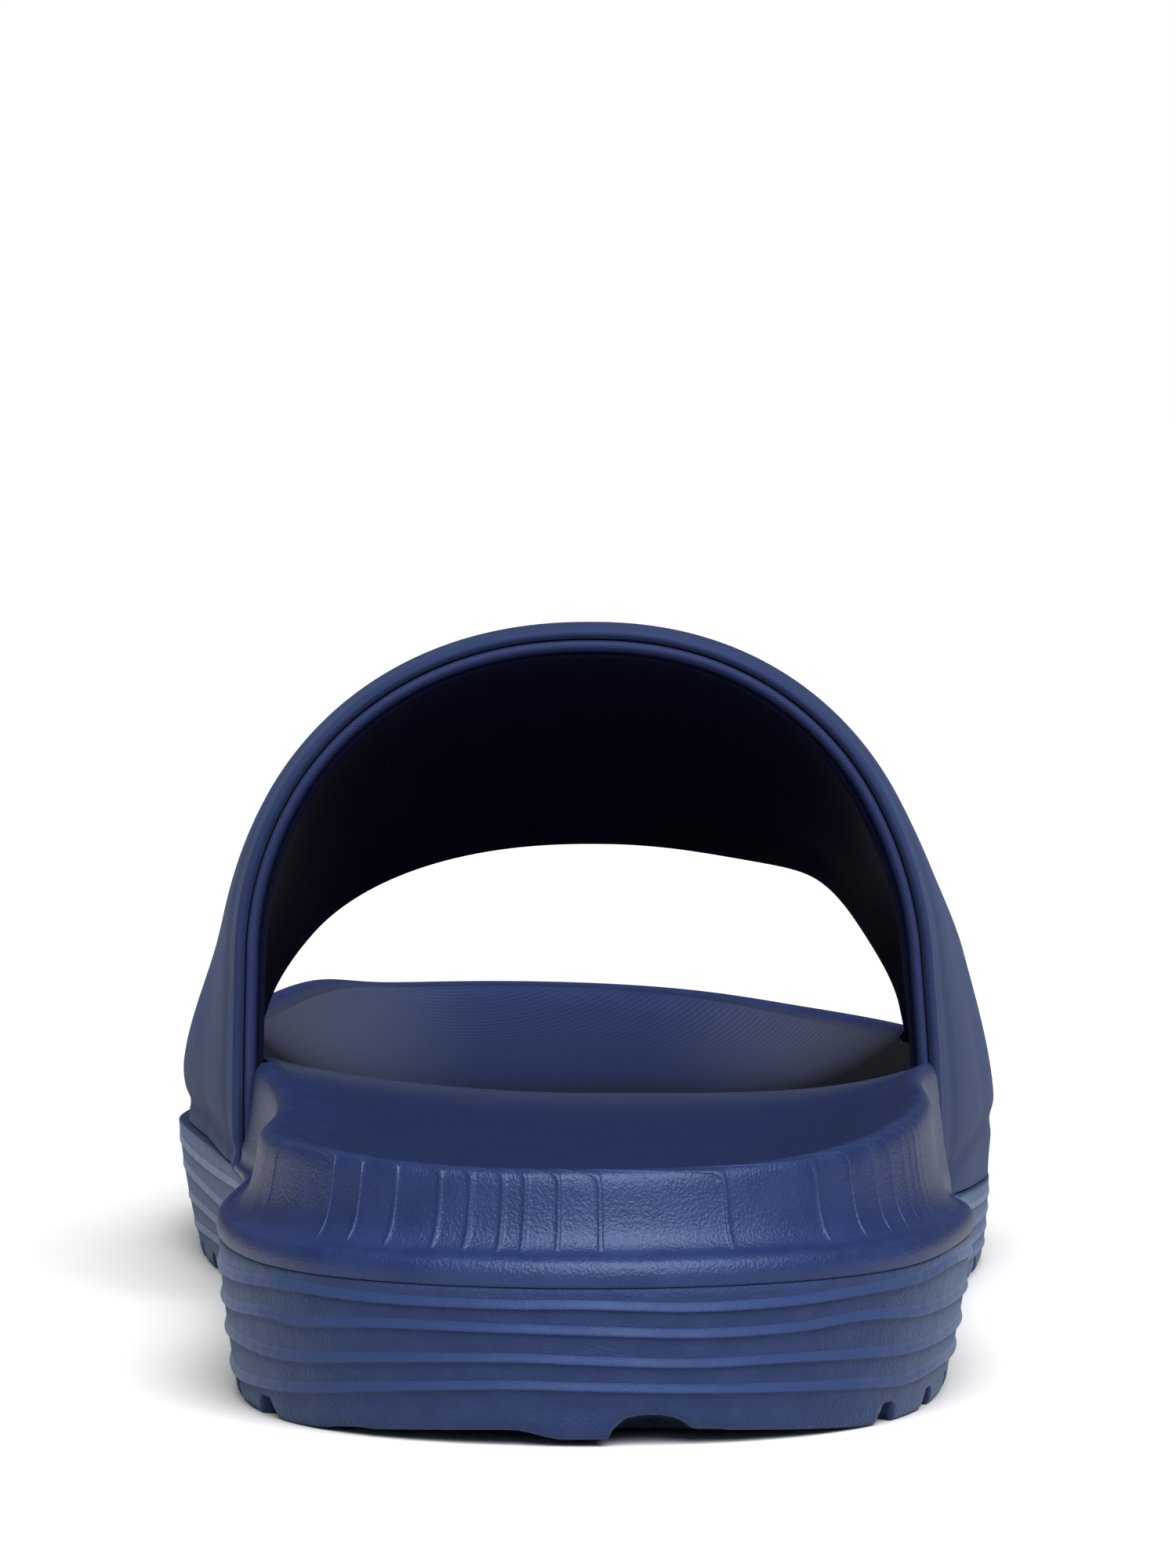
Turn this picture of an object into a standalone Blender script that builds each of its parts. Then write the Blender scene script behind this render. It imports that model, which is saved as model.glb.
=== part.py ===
"""Sport slide sandal, right shoe, in metres: +Y to the toe, +X to the little toe's side, +Z up.

Three pieces: a ribbed midsole with its tread lugs, a contoured footbed moulding that nests in it,
and one padded strap whose two ends stand in a seat in the footbed's side, on the midsole's ledge.
Every ring of the two mouldings follows one plan outline, carried inwards along its own normal.
"""

import bpy
import bmesh
import numpy as np

# Overall sizes of the sole
LENGTH = 0.290
BALL_WIDTH = 0.110
HEEL_WIDTH = 0.0876
PARTING_HEIGHT = 0.018
RIM_HEIGHT = 0.031
BED_HEIGHT = 0.028
TOE_SPRING = 0.0125
SPRING_START = 0.195
HEEL_LIFT = 0.0026
HEEL_ROLL = 0.016
ARCH_LIFT = 0.0012
ARCH_REAR = 0.31
ARCH_FRONT = 0.48
ARCH_EASE = 0.06
FIT_GAP = 0.0003

# Edge of the footbed moulding
SHOULDER_RISE = 0.0034
SHOULDER_WIDTH = 0.0043
FLANGE_LEAN = 0.0014
RIM_WIDTH = 0.0029
EDGE_CHAMFER = 0.0005

# Wall and underside of the midsole
WALL_INSET = 0.0010
WALL_LEAN = 0.0022
RIB_PROUD = 0.0006
CORNER_WIDTH = 0.0022
LEDGE_WIDTH = 0.0090
CORE_SHARE = 0.50
CORE_SLOPE = 0.40
GROOVE_WIDTH = 0.0032
GROOVE_DEPTH = 0.0024
GROOVE_WAVE = 0.0040
GROOVE_REACH = 0.62

# Strap
STRAP_TOP = 0.0880
STRAP_WIDTH = 0.0840
STRAP_REAR = 0.1190
STRAP_EDGE_WALL = 0.0040
STRAP_PAD_WALL = 0.0056
STRAP_CROWN = 0.00085
STRAP_EDGE_ROUND = 0.0012
STRAP_EDGE_BENDS = (50.0, 0.0, -50.0)
STRAP_SLOT = 0.0016

# Fineness of the meshes
HALF_COLUMNS = 38
CURVE_SAMPLES = 2400
TOP_RINGS = 8
CORE_RINGS = 2
STRAP_STEPS = 36
STRAP_BANDS = 12
GROOVE_STEPS = 10
NOTCH_STEPS = 5
SLOPE_STEP = 0.001
SHARP_ANGLE = 35.0
WELD_REACH = 0.00001

# Colour and roughness of each piece, and of the cutters
MIDSOLE_FINISH = ((0.030, 0.050, 0.180), 0.62)
FOOTBED_FINISH = ((0.024, 0.045, 0.170), 0.48)
STRAP_FINISH = ((0.040, 0.062, 0.190), 0.38)
CUTTER_FINISH = ((0.5, 0.5, 0.5), 0.5)

# Plan outline, medial side negative: along is a share of LENGTH, across a share of half the width.
OUTLINE = (
    # along, across, width
    (0.000, 0.000, "heel"),
    (0.045, -0.705, "heel"),
    (0.150, -0.985, "heel"),
    (0.300, -0.975, "heel"),
    (0.440, -0.830, "ball"),
    (0.570, -0.955, "ball"),
    (0.670, -1.030, "ball"),
    (0.790, -0.985, "ball"),
    (0.900, -0.830, "ball"),
    (0.972, -0.665, "ball"),
    (1.000, -0.330, "ball"),
    (0.989, 0.030, "ball"),
    (0.950, 0.370, "ball"),
    (0.875, 0.680, "ball"),
    (0.765, 0.900, "ball"),
    (0.640, 0.985, "ball"),
    (0.500, 0.900, "ball"),
    (0.360, 0.820, "ball"),
    (0.150, 1.000, "heel"),
    (0.045, 0.705, "heel"),
)

# Round the edge: heights as shares of PARTING_HEIGHT, of RIM_HEIGHT and of SHOULDER_RISE, and how
# far the wall leans in towards the ground, as shares of WALL_LEAN.
EDGE = (
    # along, parting medial, parting lateral, rim medial, rim lateral, shoulder, lean medial, lateral
    (0.00, 0.995, 0.995, 0.982, 0.982, 1.00, 1.00, 1.00),
    (0.07, 1.000, 1.000, 1.005, 1.030, 0.96, 0.85, 1.15),
    (0.15, 1.030, 1.030, 0.990, 1.080, 0.84, 0.75, 1.25),
    (0.28, 1.030, 0.930, 0.970, 1.070, 0.72, 0.80, 1.10),
    (0.43, 0.990, 0.780, 1.020, 1.020, 0.25, 1.20, 0.80),
    (0.62, 1.010, 0.640, 0.980, 0.940, 0.40, 1.80, 0.45),
    (0.76, 0.950, 0.680, 0.980, 0.920, 0.80, 1.60, 0.60),
    (0.88, 1.020, 0.860, 1.030, 0.915, 0.90, 1.20, 0.90),
    (1.00, 1.200, 1.200, 0.955, 0.955, 1.00, 1.00, 1.00),
)

# Footbed along its middle, a share of BED_HEIGHT, and how late it turns up to the rim at each side.
BED = (
    # along, height, medial turn, lateral turn
    (0.00, 0.86, 2.6, 2.6),
    (0.15, 0.80, 2.5, 2.6),
    (0.29, 0.84, 2.2, 2.8),
    (0.43, 0.98, 1.9, 4.0),
    (0.53, 0.86, 2.2, 4.0),
    (0.64, 0.68, 4.0, 4.5),
    (0.74, 0.65, 5.0, 5.0),
    (0.85, 0.75, 5.0, 5.0),
    (0.93, 0.88, 4.0, 4.0),
    (1.00, 0.98, 3.5, 3.5),
)

# Footbed's edge from the parting line to the rim: inset and rise have three parts each.
FOOTBED_EDGE = (
    # chamfer in, shoulder in, lean in, rim in, shoulder up, flange up
    (1.0, 0.08, 0.00, 0.00, 0.00, 0.00),
    (0.0, 0.02, 0.00, 0.00, 0.30, 0.00),
    (0.0, 0.06, 0.00, 0.00, 0.68, 0.00),
    (0.0, 0.30, 0.00, 0.00, 0.97, 0.00),
    (0.0, 0.66, 0.00, 0.00, 1.00, 0.02),
    (0.0, 0.96, 0.00, 0.00, 1.00, 0.14),
    (0.0, 1.00, 0.45, 0.00, 1.00, 0.35),
    (0.0, 1.00, 0.85, 0.00, 1.00, 0.68),
    (0.0, 1.00, 1.00, 0.14, 1.00, 0.93),
    (0.0, 1.00, 1.00, 0.52, 1.00, 1.00),
    (0.0, 1.00, 1.00, 1.00, 1.00, 0.96),
)

# Ribs of the midsole's wall: heights are shares of the wall, swings are shares of a rib's spacing.
RIBS = (
    # height at rear, height at side, swing, phase
    (0.880, 0.835, 0.10, 0.0),
    (0.690, 0.620, 0.16, 0.9),
    (0.475, 0.400, 0.18, 2.1),
    (0.285, 0.220, 0.10, 3.0),
)
RIB_RISE = 0.36
RIB_UNDERCUT = 0.07
RIB_WAVES = 4.0
RIB_SPACING = 0.19
RIB_LATERAL_RUN = 1.3
CORNER_SHARE = 0.15
CORNER_BENDS = (0.0, 35.0, 65.0, 90.0)
LEAN_POWER = 1.4

# Strap stations from the rear edge to the front edge: half widths are shares of half BALL_WIDTH,
# heights shares of STRAP_TOP, sweep the share of STRAP_WIDTH by which the ends lie further forward.
STRAP = (
    # along, medial, lateral, medial flare, lateral flare, top, side top, sweep
    (0.00, 0.819, 0.774, 0.014, 0.044, 0.991, 0.515, 0.115),
    (0.35, 0.845, 0.807, 0.067, 0.115, 0.949, 0.506, 0.120),
    (0.70, 0.839, 0.835, 0.154, 0.143, 0.806, 0.467, 0.130),
    (1.00, 0.842, 0.816, 0.100, 0.072, 0.665, 0.364, 0.140),
)
SIDE_SHARE = 0.34
FLARE_START = 0.45
FLARE_END = 0.92
BOW_POWER = 0.92
CROWN_FALL = 6.0
SEAT_REACH = 0.47
LEVEL_START = 0.72
LEVEL_END = 0.92

# Tread grooves across the sole, shares of LENGTH, and notches in the heel's rear edge, shares of
# half HEEL_WIDTH across, of GROOVE_DEPTH high and of HEEL_ROLL long.
GROOVES = (0.085, 0.135, 0.185, 0.235, 0.285, 0.52, 0.57, 0.62, 0.67, 0.72, 0.77, 0.82, 0.87)
HEEL_NOTCHES = (
    # middle, half width, height, length
    (-0.640, 0.075, 0.85, 1.30),
    (0.130, 0.105, 1.42, 0.90),
    (0.770, 0.040, 0.70, 1.35),
)


def smooth_columns(table, along, level_ends=True):
    """Read a table's columns at along: cubic between rows, level at both ends or running on."""
    rows = np.array(table, dtype=float)
    keys, values = rows[:, 0], rows[:, 1:]
    slopes = np.zeros_like(values)
    slopes[1:-1] = (values[2:] - values[:-2]) / (keys[2:] - keys[:-2])[:, None]
    if not level_ends:
        slopes[0] = 2.0 * (values[1] - values[0]) / (keys[1] - keys[0]) - slopes[1]
        slopes[-1] = 2.0 * (values[-1] - values[-2]) / (keys[-1] - keys[-2]) - slopes[-2]
    along = np.clip(np.asarray(along, dtype=float), keys[0], keys[-1])
    low = np.clip(np.searchsorted(keys, along, side="right") - 1, 0, len(keys) - 2)
    span = (keys[low + 1] - keys[low])[..., None]
    u = (along - keys[low])[..., None] / span
    start = values[low] * (2 * u**3 - 3 * u**2 + 1) + slopes[low] * span * (u**3 - 2 * u**2 + u)
    end = values[low + 1] * (3 * u**2 - 2 * u**3) + slopes[low + 1] * span * (u**3 - u**2)
    return np.moveaxis(start + end, -1, 0)


def ease(value):
    """Go from 0 to 1 with a level start and end."""
    value = np.clip(value, 0.0, 1.0)
    return value * value * (3.0 - 2.0 * value)


def closed_curve(points, samples):
    """Pass a closed cubic spline through the points, timed by the chords between them."""
    count = len(points)
    ahead = np.roll(points, -1, axis=0)
    chords = np.linalg.norm(ahead - points, axis=1)
    before = np.roll(chords, 1)
    system = np.zeros((count, count))
    index = np.arange(count)
    system[index, index] = 2.0 * (before + chords)
    system[index, (index - 1) % count] = chords
    system[index, (index + 1) % count] = before
    back = (points - np.roll(points, 1, axis=0)) / before[:, None]
    forth = (ahead - points) / chords[:, None]
    slopes = np.linalg.solve(system, 3.0 * (chords[:, None] * back + before[:, None] * forth))
    time = np.linspace(0.0, chords.sum(), samples, endpoint=False)
    starts = np.concatenate(([0.0], np.cumsum(chords)))
    piece = np.clip(np.searchsorted(starts, time, side="right") - 1, 0, count - 1)
    span = chords[piece][:, None]
    u = (time - starts[piece])[:, None] / span
    following = (piece + 1) % count
    start = points[piece] * (2 * u**3 - 3 * u**2 + 1) + slopes[piece] * span * (u**3 - 2 * u**2 + u)
    end = points[following] * (3 * u**2 - 2 * u**3) + slopes[following] * span * (u**3 - u**2)
    return start + end


def plan_outline():
    """Give the outline's columns, heel to toe medially and back laterally, and their outward normals."""
    half = {"heel": HEEL_WIDTH / 2, "ball": BALL_WIDTH / 2}
    points = np.array([(across * half[width], along * LENGTH) for along, across, width in OUTLINE])
    curve = closed_curve(points, CURVE_SAMPLES)
    curve[:, 1] = (curve[:, 1] - curve[:, 1].min()) * LENGTH / np.ptp(curve[:, 1])
    curve = np.roll(curve, -np.argmin(curve[:, 1]), axis=0)
    toe = int(np.argmax(curve[:, 1]))
    halves = []
    for part in (curve[: toe + 1], np.vstack((curve[toe:], curve[:1]))):
        travel = np.concatenate(([0.0], np.cumsum(np.linalg.norm(np.diff(part, axis=0), axis=1))))
        wanted = np.linspace(0.0, travel[-1], HALF_COLUMNS + 1)[:-1]
        halves.append(np.stack([np.interp(wanted, travel, part[:, axis]) for axis in (0, 1)], axis=1))
    columns = np.vstack(halves)
    tangent = np.roll(columns, -1, axis=0) - np.roll(columns, 1, axis=0)
    tangent /= np.linalg.norm(tangent, axis=1)[:, None]
    return columns, np.stack((-tangent[:, 1], tangent[:, 0]), axis=1)


def half_width(side, y):
    """Give the outline's distance from the middle line at y, on the medial (-1) or lateral (+1) side."""
    reach = side * COLUMNS[:, 0]
    chosen = (COLUMNS[:, 1] > HEEL_ROLL) & (COLUMNS[:, 1] < LENGTH - HEEL_ROLL) & (reach > 0)
    order = np.argsort(COLUMNS[chosen, 1])
    return np.interp(y, COLUMNS[chosen, 1][order], reach[chosen][order])


def underside(y):
    """Height of the sole's underside: rolled up at the heel, lifted at the arch, sprung at the toe."""
    roll = HEEL_LIFT * np.clip(1.0 - y / HEEL_ROLL, 0.0, 1.0) ** 2
    share = y / LENGTH
    arch = ARCH_LIFT * ease((share - ARCH_REAR) / ARCH_EASE) * ease((ARCH_FRONT - share) / ARCH_EASE)
    spring = TOE_SPRING * np.clip((y - SPRING_START) / (LENGTH - SPRING_START), 0.0, None) ** 2
    return roll + arch + spring


def edge_sizes(side, y):
    """Give parting height, rim height, shoulder rise and wall lean at y; side is -1 medial, 1 lateral."""
    values = smooth_columns(EDGE, y / LENGTH)
    lateral = (side + 1.0) / 2.0
    parting = PARTING_HEIGHT * (values[0] + (values[1] - values[0]) * lateral)
    rim = RIM_HEIGHT * (values[2] + (values[3] - values[2]) * lateral)
    lean = WALL_LEAN * (values[5] + (values[6] - values[5]) * lateral)
    return parting, rim, SHOULDER_RISE * values[4], lean


COLUMNS, NORMALS = plan_outline()
COUNT = len(COLUMNS)
SIDES = np.where(np.arange(COUNT) < HALF_COLUMNS, -1.0, 1.0)
SIDES[[0, HALF_COLUMNS]] = 0.0
PARTING, RIM, SHOULDER, LEAN = edge_sizes(SIDES, COLUMNS[:, 1])


def spine():
    """Give the line that the rings shrink to, one point for each pair of columns."""
    share = (1.0 - np.cos(np.linspace(0.0, np.pi, HALF_COLUMNS + 1))) / 2.0
    y = HEEL_WIDTH / 2 + share * (LENGTH - HEEL_WIDTH / 2 - BALL_WIDTH / 2)
    middle = (half_width(1.0, y) - half_width(-1.0, y)) / 2.0
    pairs = np.stack((middle, y), axis=1)
    return np.vstack((pairs, pairs[-2:0:-1]))


SPINE = spine()


def ring(inset, height):
    """Carry the outline inwards by inset and put it at height."""
    plan = COLUMNS - NORMALS * np.broadcast_to(inset, COUNT)[:, None]
    return np.column_stack((plan, np.broadcast_to(height, COUNT)))


def shrink(edge, share):
    """Give the plan of a ring drawn in towards the spine; share 1 is the ring, 0 the spine."""
    return SPINE + (edge[:, :2] - SPINE) * share


def core_height(share):
    """Height of the face where the mouldings meet, inside the ledge; share 1 is the ledge."""
    edge = ring(LEDGE_WIDTH, PARTING)
    plan = shrink(edge, share)
    twin = np.concatenate(([0], np.arange(COUNT - 1, 0, -1)))
    mean = (PARTING + PARTING[twin]) / 2.0
    level = mean + (PARTING - mean) * share
    floor = underside(plan[:, 1])
    return plan, level - (1.0 - CORE_SHARE) * (level - floor) * ease((1.0 - share) / CORE_SLOPE)


def core_rings(lift):
    """Rings of that face from its middle outwards to the ledge's outer edge, raised by lift."""
    rings = []
    for share in np.linspace(0.0, 1.0, CORE_RINGS + 2):
        plan, height = core_height(share)
        rings.append(np.column_stack((plan, height + lift)))
    return rings


def wall_rings():
    """Rings of the midsole's wall from its top edge down to the underside."""
    floor = underside(COLUMNS[:, 1])
    wall = PARTING - floor
    turn = np.linspace(0.0, 2.0 * np.pi, COUNT, endpoint=False)
    side = ease(COLUMNS[:, 1] / (HEEL_WIDTH / 2))
    run = turn * np.where(SIDES > 0, RIB_LATERAL_RUN, 1.0)
    rings = [ring(WALL_INSET + EDGE_CHAMFER, PARTING), ring(WALL_INSET, PARTING - EDGE_CHAMFER)]

    def lean(share):
        return WALL_INSET + LEAN * (1.0 - share) ** LEAN_POWER

    for rear, flank, swing, phase in RIBS:
        wave = swing * RIB_SPACING * np.sin(RIB_WAVES * run + phase)
        lip = rear + (flank - rear + wave) * side
        top = lip + RIB_RISE * RIB_SPACING
        under = lip - RIB_UNDERCUT * RIB_SPACING
        rings.append(ring(lean(top), floor + top * wall))
        rings.append(ring(lean(lip) - RIB_PROUD, floor + lip * wall))
        rings.append(ring(lean(under), floor + under * wall))
    for angle in np.radians(CORNER_BENDS):
        inset = lean(CORNER_SHARE) + CORNER_WIDTH * (1.0 - np.cos(angle))
        rings.append(ring(inset, floor + CORNER_SHARE * wall * (1.0 - np.sin(angle))))
    return rings


def underside_rings(edge):
    """Rings of the underside from its edge to the middle."""
    rings = []
    for share in np.linspace(1.0, 0.0, CORE_RINGS + 3)[1:]:
        plan = shrink(edge, share)
        rings.append(np.column_stack((plan, underside(plan[:, 1]))))
    return rings


def footbed_edge_rings():
    """Rings of the footbed's edge from the parting line over shoulder, flange and rim."""
    base = PARTING + FIT_GAP
    flange = RIM - base - SHOULDER
    rings = []
    shelf = SHOULDER_WIDTH * SHOULDER / SHOULDER_RISE
    for chamfer, shoulder, lean, rim, rise, up in FOOTBED_EDGE:
        inset = (chamfer * EDGE_CHAMFER + shoulder * shelf
                 + lean * FLANGE_LEAN + rim * RIM_WIDTH)
        rings.append(ring(inset, base + rise * SHOULDER + up * flange))
    return rings


def bed_rings(edge):
    """Rings of the footbed's upper face from the rim's inner edge to the middle."""
    rings = []
    for share in np.linspace(1.0, 0.0, TOP_RINGS + 1)[1:]:
        plan = shrink(edge, share)
        height, medial, lateral = smooth_columns(BED, plan[:, 1] / LENGTH)
        turn = medial + (lateral - medial) * (SIDES + 1.0) / 2.0
        middle = BED_HEIGHT * height
        rings.append(np.column_stack((plan, middle + (edge[:, 2] - middle) * share**turn)))
    return rings


def strap_station(t):
    """Read the strap's sizes at t, 0 at its rear edge and 1 at its front edge."""
    values = smooth_columns(STRAP, t, level_ends=False)
    return values * np.array([BALL_WIDTH / 2] * 4 + [STRAP_TOP] * 2 + [STRAP_WIDTH])[:, None]


def strap_surface(s, t):
    """Outer face of the strap: s from -1 at the medial end to 1 at the lateral end, t rear to front.

    Over the foot a section is half an ellipse that stands on two sides, which flare out towards
    the sole. Between its edges the padded face stands out by STRAP_CROWN. The ends stop FIT_GAP
    above the midsole's ledge.
    """
    medial, lateral, medial_flare, lateral_flare, top, side_top, sweep = strap_station(np.ravel(t))
    s = np.ravel(s)
    crown = STRAP_CROWN * (1.0 - np.abs(2.0 * np.ravel(t) - 1.0) ** CROWN_FALL)
    half = np.where(s < 0, medial, lateral) + crown
    flare = np.where(s < 0, medial_flare, lateral_flare)
    bend = np.clip(np.abs(s) / (1.0 - SIDE_SHARE), 0.0, 1.0) * np.pi / 2
    down = np.clip((np.abs(s) - (1.0 - SIDE_SHARE)) / SIDE_SHARE, 0.0, None)
    y = STRAP_REAR + np.ravel(t) * STRAP_WIDTH + sweep * ease(np.abs(s))
    foot = edge_sizes(np.sign(s), y)[0] + FIT_GAP
    spread = ease((np.abs(s) - FLARE_START) / (FLARE_END - FLARE_START))
    x = np.sign(s) * (half * np.sin(bend) ** BOW_POWER + flare * spread)
    z = side_top + (top + crown - side_top) * np.cos(bend) + (foot - side_top) * down
    return np.stack((x, y, z), axis=1)


def strap_normals(s, t):
    """Outward normals of the strap's outer face, turned level towards its ends."""
    along = strap_surface(s + SLOPE_STEP, t) - strap_surface(s - SLOPE_STEP, t)
    across = strap_surface(s, t + SLOPE_STEP) - strap_surface(s, t - SLOPE_STEP)
    normal = np.cross(along, across)
    normal[:, 2] *= 1.0 - ease((np.abs(np.ravel(s)) - LEVEL_START) / (LEVEL_END - LEVEL_START))
    normal /= np.linalg.norm(normal, axis=1)[:, None]
    return normal


def strap_wall(t):
    """Thickness of the strap's wall at t: thin at both edges, full where it is padded."""
    pad = np.sqrt(np.clip(4.0 * t * (1.0 - t), 0.0, 1.0))
    return STRAP_EDGE_WALL + (STRAP_PAD_WALL - STRAP_EDGE_WALL) * pad


def strap_loop():
    """Give t, depth and edge reach of the points round the wall's section; depth 0 out, 1 in."""
    run = np.linspace(0.0, 1.0, STRAP_BANDS + 1)
    bends = np.radians(STRAP_EDGE_BENDS)
    reach = STRAP_EDGE_ROUND * np.cos(bends)
    depth = (1.0 - np.sin(bends)) / 2.0
    t = np.concatenate((run, np.ones(bends.size), run[::-1], np.zeros(bends.size)))
    deep = np.concatenate((np.zeros(run.size), depth, np.ones(run.size), depth[::-1]))
    ahead = np.concatenate((np.zeros(run.size), reach, np.zeros(run.size), -reach))
    return t, deep, ahead


def strap_points():
    """Sweep the wall's section across the foot; give the points and the number of loops."""
    t, deep, ahead = strap_loop()
    steps = np.linspace(-1.0, 1.0, STRAP_STEPS + 1)
    s = np.repeat(steps, t.size)
    t, deep, ahead = (np.tile(part, steps.size) for part in (t, deep, ahead))
    points = strap_surface(s, t) - strap_normals(s, t) * (strap_wall(t) * deep)[:, None]
    points[:, 1] += ahead
    return points, steps.size


def mesh_object(name, points, faces, finish):
    """Make one object of points and faces, faces outwards, with its own material."""
    mesh = bpy.data.meshes.new(name)
    mesh.from_pydata(points.tolist(), [], faces)
    shape = bmesh.new()
    shape.from_mesh(mesh)
    bmesh.ops.recalc_face_normals(shape, faces=shape.faces)
    shape.to_mesh(mesh)
    shape.free()
    mesh.shade_smooth()
    mesh.set_sharp_from_angle(angle=np.radians(SHARP_ANGLE))
    thing = bpy.data.objects.new(name, mesh)
    bpy.context.scene.collection.objects.link(thing)
    material = bpy.data.materials.new(name)
    material.use_nodes = True
    shader = material.node_tree.nodes["Principled BSDF"]
    shader.inputs["Base Color"].default_value = finish[0] + (1.0,)
    shader.inputs["Roughness"].default_value = finish[1]
    mesh.materials.append(material)
    return thing


def ring_solid(name, rings, finish):
    """Join rings whose first and last have shrunk to the spine into one closed body."""
    half = HALF_COLUMNS
    pair = np.concatenate((np.arange(half + 1), np.arange(half - 1, 0, -1)))
    body = rings[1:-1]
    points = np.vstack([rings[0][: half + 1]] + body + [rings[-1][: half + 1]])
    starts = half + 1 + COUNT * np.arange(len(body))
    columns = np.arange(COUNT)
    indices = [pair] + [start + columns for start in starts] + [starts[-1] + COUNT + pair]
    faces = []
    for upper, lower in zip(indices[:-1], indices[1:]):
        quads = np.stack((upper, lower, np.roll(lower, -1), np.roll(upper, -1)), axis=1)
        faces.extend(quads.tolist())
    return mesh_object(name, points, faces, finish)


def loop_faces(loops, size):
    """Quads between loops of one size that follow one another, and each loop's corners."""
    index = np.arange(loops * size).reshape(loops, size)
    near, far = index[:-1], index[1:]
    quads = np.stack((near, far, np.roll(far, -1, axis=1), np.roll(near, -1, axis=1)), axis=2)
    return quads.reshape(-1, 4).tolist(), index


def strip_faces(loop):
    """Close a loop whose two halves run side by side with quads from one half to the other."""
    half = loop.size // 2
    outer, inner = loop[:half], loop[::-1][:half]
    return np.stack((outer[:-1], outer[1:], inner[1:], inner[:-1]), axis=1).tolist()


def swept_solid(name, points, loops, finish):
    """Join loops whose halves run side by side into a closed body."""
    faces, index = loop_faces(loops, len(points) // loops)
    faces += strip_faces(index[0]) + strip_faces(index[-1])
    return mesh_object(name, points, faces, finish)


def block(name, sections):
    """Join flat sections with the same number of corners into a closed body for cutting."""
    faces, index = loop_faces(len(sections), len(sections[0]))
    faces += [index[0].tolist(), index[-1].tolist()]
    return mesh_object(name, np.vstack(sections), faces, CUTTER_FINISH)


def cut(thing, cutter):
    """Take the cutter's body out of the thing."""
    cutter.hide_render = True
    cutter.display_type = "WIRE"
    modifier = thing.modifiers.new(cutter.name, "BOOLEAN")
    modifier.operation = "DIFFERENCE"
    modifier.object = cutter


def weld(thing):
    """Join corners that the cuts leave within WELD_REACH of each other."""
    modifier = thing.modifiers.new("weld", "WELD")
    modifier.merge_threshold = WELD_REACH


def strap_seat(side, shift):
    """Cutter for the seat of one strap end: the strap's inner face, set in by FIT_GAP.

    It reaches out past the sole, below the ledge and above the rim, and STRAP_SLOT past the edges.
    """
    past = (STRAP_SLOT + STRAP_EDGE_ROUND) / STRAP_WIDTH
    lengths = np.concatenate(([-past], np.linspace(0.0, 1.0, STRAP_BANDS + 1), [1.0 + past]))
    levels = np.linspace(-1.0, 1.0, STRAP_STEPS + 1)
    levels = levels[levels > SEAT_REACH]
    s, t = (part.ravel() for part in np.meshgrid(side * levels, lengths, indexing="ij"))
    inside = np.clip(t, 0.0, 1.0)
    wall = strap_wall(inside) + FIT_GAP
    inner = strap_surface(s, inside) - strap_normals(s, inside) * wall[:, None]
    inner[:, 1] += (t - inside) * STRAP_WIDTH
    inner = inner.reshape(levels.size, lengths.size, 3)
    bottom = inner[-1:] - np.array((0.0, 0.0, PARTING_HEIGHT))
    inner = np.concatenate((inner, bottom))
    outer = inner.copy()
    outer[:, :, 0] = side * BALL_WIDTH
    loops = np.concatenate((inner, outer[::-1])).transpose(1, 0, 2) - shift
    name = "seat_medial" if side < 0 else "seat_lateral"
    return swept_solid(name, loops.reshape(-1, 3), lengths.size, CUTTER_FINISH)


def tread_groove(place, shift):
    """Cutter for one wavy groove across the sole, GROOVE_DEPTH deep in the underside there."""
    x = np.linspace(-BALL_WIDTH, BALL_WIDTH, GROOVE_STEPS + 1) * GROOVE_REACH
    y = LENGTH * place + GROOVE_WAVE * np.sin(4.0 * np.pi * x / BALL_WIDTH)
    roof = underside(y) + GROOVE_DEPTH
    sections = []
    for across, along, top in zip(x, y, roof):
        near, far, low = along - GROOVE_WIDTH / 2, along + GROOVE_WIDTH / 2, -GROOVE_DEPTH
        section = ((across, near, low), (across, far, low), (across, far, top), (across, near, top))
        sections.append(np.array(section) - shift)
    return block("groove_%03d" % round(place * 1000), sections)


def heel_notch(row, shift):
    """Cutter for one arched bite in the heel's rear edge, flat below and half an ellipse above."""
    middle, half, height, length = row
    turn = np.linspace(0.0, np.pi, NOTCH_STEPS + 1)
    across = HEEL_WIDTH / 2 * (middle + half * np.cos(turn))
    rise = HEEL_LIFT + GROOVE_DEPTH * (height * np.sin(turn) - 1.0)
    rise[[0, -1]] = -GROOVE_DEPTH
    sections = []
    for y in (-HEEL_ROLL, HEEL_ROLL * length):
        sections.append(np.stack((across, np.full_like(across, y), rise), axis=1) - shift)
    return block("notch_%02d" % round(50 * (middle + 1)), sections)


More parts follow.
